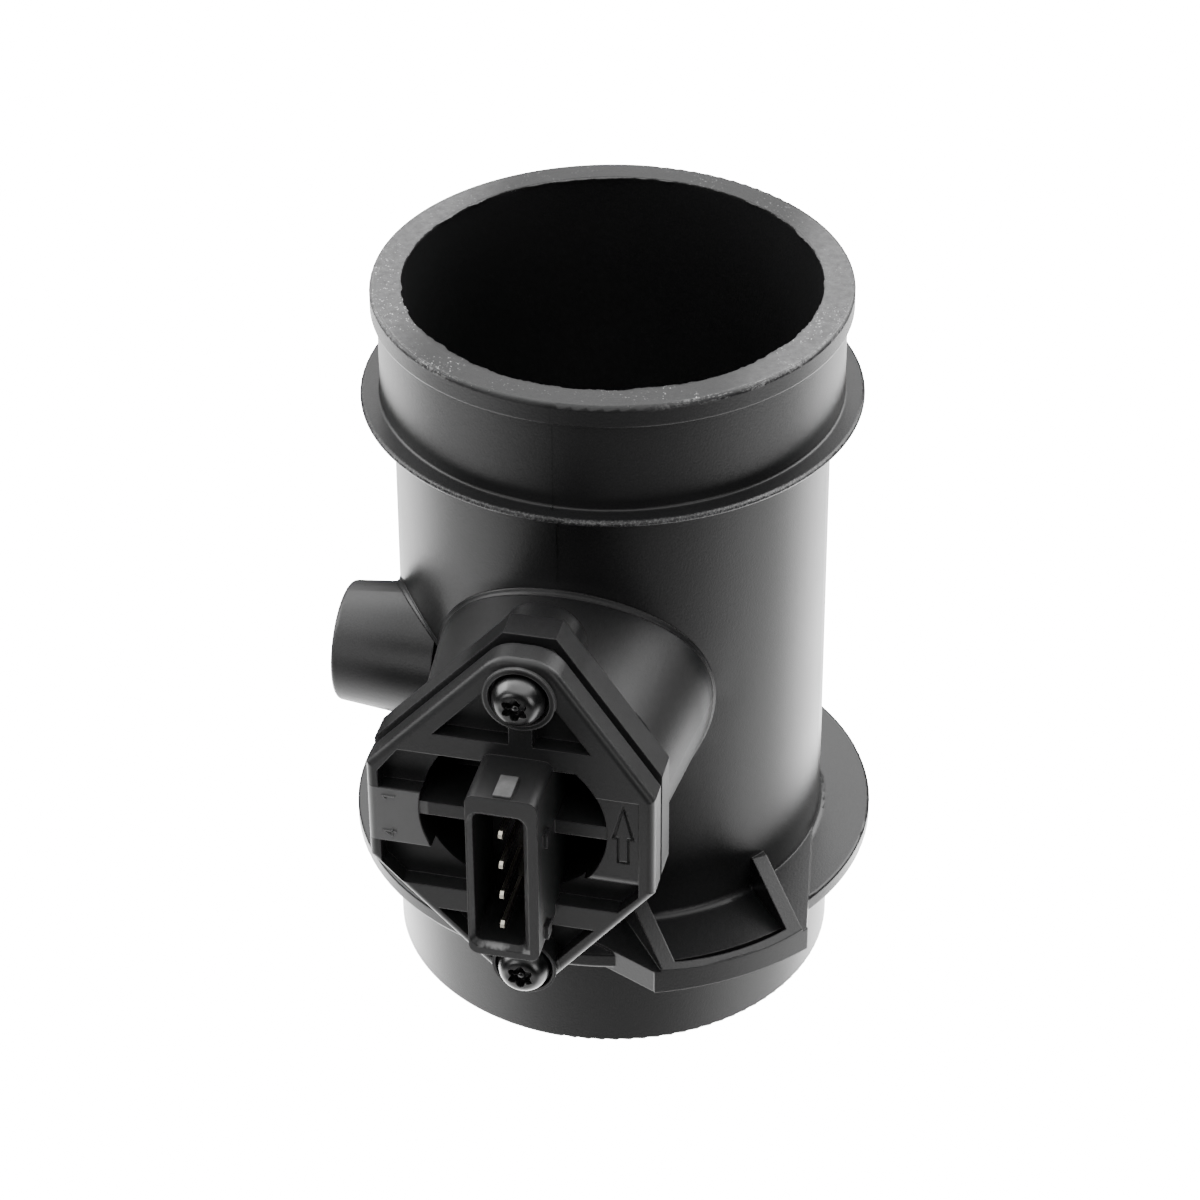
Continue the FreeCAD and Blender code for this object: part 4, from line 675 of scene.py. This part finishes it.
# Circuit
# A fired ceramic board with printed silver tracks, its chip in black resin and two capacitors.

board_finish = Finish("board_ceramic")
_, track_y, track_z = board_finish.parts(board_finish.place)
# The tracks lie 1.7 mm apart, in lengths of 5.6 mm.
across = board_finish.add("ShaderNodeMath", {"operation": "FRACT"}, {0: track_z * 600.0})
along = board_finish.add("ShaderNodeMath", {"operation": "FRACT"}, {0: track_y * 180.0})
track = board_finish.step(across, 0.62, 0.66) * board_finish.step(along, 0.2, 0.22)
board_finish.set("Base Color", board_finish.mix(track, (0.78, 0.77, 0.72, 1), (0.5, 0.5, 0.5, 1)))
board_finish.set("Roughness", 0.55 - 0.25 * track)
board_finish.relief(track, 0.02 * MM, 0.1 * MM)
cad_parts["hybrid_board"].material_slots[0].material = board_finish.material

resin_finish = Finish("chip_resin")
resin_grain = resin_finish.noise(5000.0, 2.0)
resin_finish.set("Base Color", resin_finish.mix(resin_grain, (0.016, 0.016, 0.016, 1), (0.03, 0.03, 0.03, 1)))
resin_finish.set("Roughness", 0.5 + 0.2 * resin_grain)
resin_finish.relief(resin_grain, 0.02 * MM)
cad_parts["evaluation_circuit"].material_slots[0].material = resin_finish.material

capacitor_finish = Finish("capacitor_ceramic")
_, cap_y, _ = capacitor_finish.parts(capacitor_finish.place)
low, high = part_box("capacitor_1")
cap_end = capacitor_finish.beyond(abs(cap_y - (low[1] + high[1]) / 2), 1.05, 1.15)
capacitor_finish.set("Base Color", capacitor_finish.mix(cap_end, (0.33, 0.22, 0.14, 1), (0.7, 0.69, 0.66, 1)))
capacitor_finish.set("Metallic", cap_end)
capacitor_finish.set("Roughness", 0.5 - 0.2 * cap_end)
for name in ("capacitor_1", "capacitor_2"):
    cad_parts[name].material_slots[0].material = capacitor_finish.material


# Hot-film chip
# Polished silicon with a thin membrane across its middle, which carries the heater.

chip_finish = Finish("silicon", Coat_Weight=0.3)
_, chip_y, _ = chip_finish.parts(chip_finish.place)
low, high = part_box("hot_film_chip")
from_middle = abs(chip_y - (low[1] + high[1]) / 2)
film = 1 - chip_finish.beyond(from_middle, 0.45, 0.5)
chip_finish.set("Base Color", chip_finish.mix(film, (0.12, 0.13, 0.16, 1), (0.3, 0.2, 0.32, 1)))
chip_finish.set("Roughness", 0.12 + 0.1 * film)
chip_finish.set("Metallic", 0.8 - 0.4 * film)
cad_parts["hot_film_chip"].material_slots[0].material = chip_finish.material


# Air thermistor
# A glass bead on two tinned wires, set in the stem's leading edge.

bead_finish = Finish("thermistor_glass")
_, glass_y, glass_z = bead_finish.parts(bead_finish.place)
low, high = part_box("air_thermistor")
bead_ahead = glass_y - (low[1] + high[1]) / 2
bead_rise = glass_z - (low[2] + 1.1 * MM)
from_bead = (bead_ahead * bead_ahead + bead_rise * bead_rise) ** 0.5
wire_part = bead_finish.beyond(from_bead, 1.6, 1.7)
bead_finish.set("Base Color", bead_finish.mix(wire_part, (0.16, 0.03, 0.015, 1), (0.72, 0.71, 0.68, 1)))
bead_finish.set("Metallic", wire_part)
bead_finish.set("Roughness", 0.1 + 0.2 * wire_part)
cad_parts["air_thermistor"].material_slots[0].material = bead_finish.material


# Stem seal
# A moulded O-ring of black rubber, in the groove of the stem's round root.

seal_finish = Finish("seal_rubber")
seal_bloom = seal_finish.noise(500.0, 3.0)
seal_finish.set("Base Color", seal_finish.mix(seal_bloom, (0.01, 0.01, 0.01, 1), (0.03, 0.03, 0.03, 1)))
seal_finish.set("Roughness", 0.55 + 0.2 * seal_bloom)
seal_finish.relief(seal_bloom, 0.01 * MM)
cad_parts["stem_seal"].material_slots[0].material = seal_finish.material


# Screws
# Pan-head thread-forming screws in black zinc, with a six-lobe recess and a centre pin.
# The head is cold-formed, and it sits in the plate's ring-shaped seat.

screw_finish = Finish("screw_steel", Metallic=1.0)
screw_stain = screw_finish.noise(400.0, 3.0, 0.5)
screw_finish.set("Base Color", screw_finish.mix(screw_stain, (0.07, 0.07, 0.07, 1), (0.15, 0.15, 0.15, 1)))
screw_finish.set("Roughness", 0.24 + 0.12 * screw_stain)
screw_finish.relief(screw_stain, 0.01 * MM, 0.08 * MM)

SCREW_STEPS = 96
HEAD_HEIGHT = 4.2
PIN_DROP = 0.5
SHANK_LENGTH = 13.6
THREAD_RINGS = 90
THREAD_START = 0.3
THREAD_PITCH = 1.6
THREAD_DEPTH = 0.36
CORE_RADIUS = 1.62
POINT_LENGTH = 1.6


def lobed(turn, inner, outer):
    """Radius of the six-lobe recess at a turn angle."""
    return (inner + outer) / 2 + (outer - inner) / 2 * math.cos(6 * turn)


def screw_rings(seat):
    """Rings of a screw, from the centre pin's top over the head and down the thread.

    Each ring is a radius at a turn angle, and a distance from the tube's axis."""
    top = seat + HEAD_HEIGHT
    # The centre pin, then the recess from its floor up to the head's top.
    rings = [
        (lambda t: 0.42, top - 0.55), (lambda t: 0.55, top - 0.68), (lambda t: 0.58, top - 2.0),
        (lambda t: lobed(t, 1.3, 1.9), top - 2.0), (lambda t: lobed(t, 1.42, 2.04), top - 1.9),
        (lambda t: lobed(t, 1.5, 2.12), top - 0.4), (lambda t: lobed(t, 1.66, 2.24), top - 0.2),
        (lambda t: lobed(t, 2.3, 2.42), top - 0.24),
    ]
    # The domed head: each ring's radius, and how far it lies below the top.
    for radius, drop in (
        (2.7, 0.3), (3.1, 0.55), (3.45, 0.9), (3.75, 1.35), (4.0, 1.9), (4.2, 2.5),
        (4.34, 3.1), (4.42, 3.6), (4.4, 3.95), (4.28, 4.15), (4.1, HEAD_HEIGHT),
    ):
        rings.append((lambda t, radius=radius: radius, top - drop))
    rings.append((lambda t: 2.0, seat))
    for number in range(THREAD_RINGS):
        depth = THREAD_START + (SHANK_LENGTH - THREAD_START) * number / (THREAD_RINGS - 1)
        point = min(1.0, (SHANK_LENGTH - depth) / POINT_LENGTH + 0.45)

        def thread(t, depth=depth, point=point):
            phase = (depth / THREAD_PITCH - t / (2 * math.pi)) % 1.0
            return point * (CORE_RADIUS + THREAD_DEPTH * max(0.0, 1 - abs(phase - 0.5) * 4.5))

        rings.append((thread, seat - depth))
    return rings


for name in ("upper_screw", "lower_screw"):
    low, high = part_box(name)
    height = (low[2] + high[2]) / 2 / MM
    front = -low[1] / MM
    rings = screw_rings(front - HEAD_HEIGHT)
    points = [(0, -(front - PIN_DROP), height)]
    for radius, out in rings:
        for number in range(SCREW_STEPS):
            turn = 2 * math.pi * number / SCREW_STEPS
            points.append((radius(turn) * math.sin(turn), -out, height + radius(turn) * math.cos(turn)))
    points.append((0, -(front - HEAD_HEIGHT - SHANK_LENGTH), height))
    pairs = [(step, (step + 1) % SCREW_STEPS) for step in range(SCREW_STEPS)]
    faces = [(0, 1 + step, 1 + following) for step, following in pairs]
    for ring in range(len(rings) - 1):
        a, b = 1 + ring * SCREW_STEPS, 1 + (ring + 1) * SCREW_STEPS
        faces += [(a + step, a + following, b + following, b + step) for step, following in pairs]
    last = 1 + (len(rings) - 1) * SCREW_STEPS
    faces += [(last + step, last + following, len(points) - 1) for step, following in pairs]
    finished = piece(name + "_threaded", points, faces, screw_finish)
    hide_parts(name)
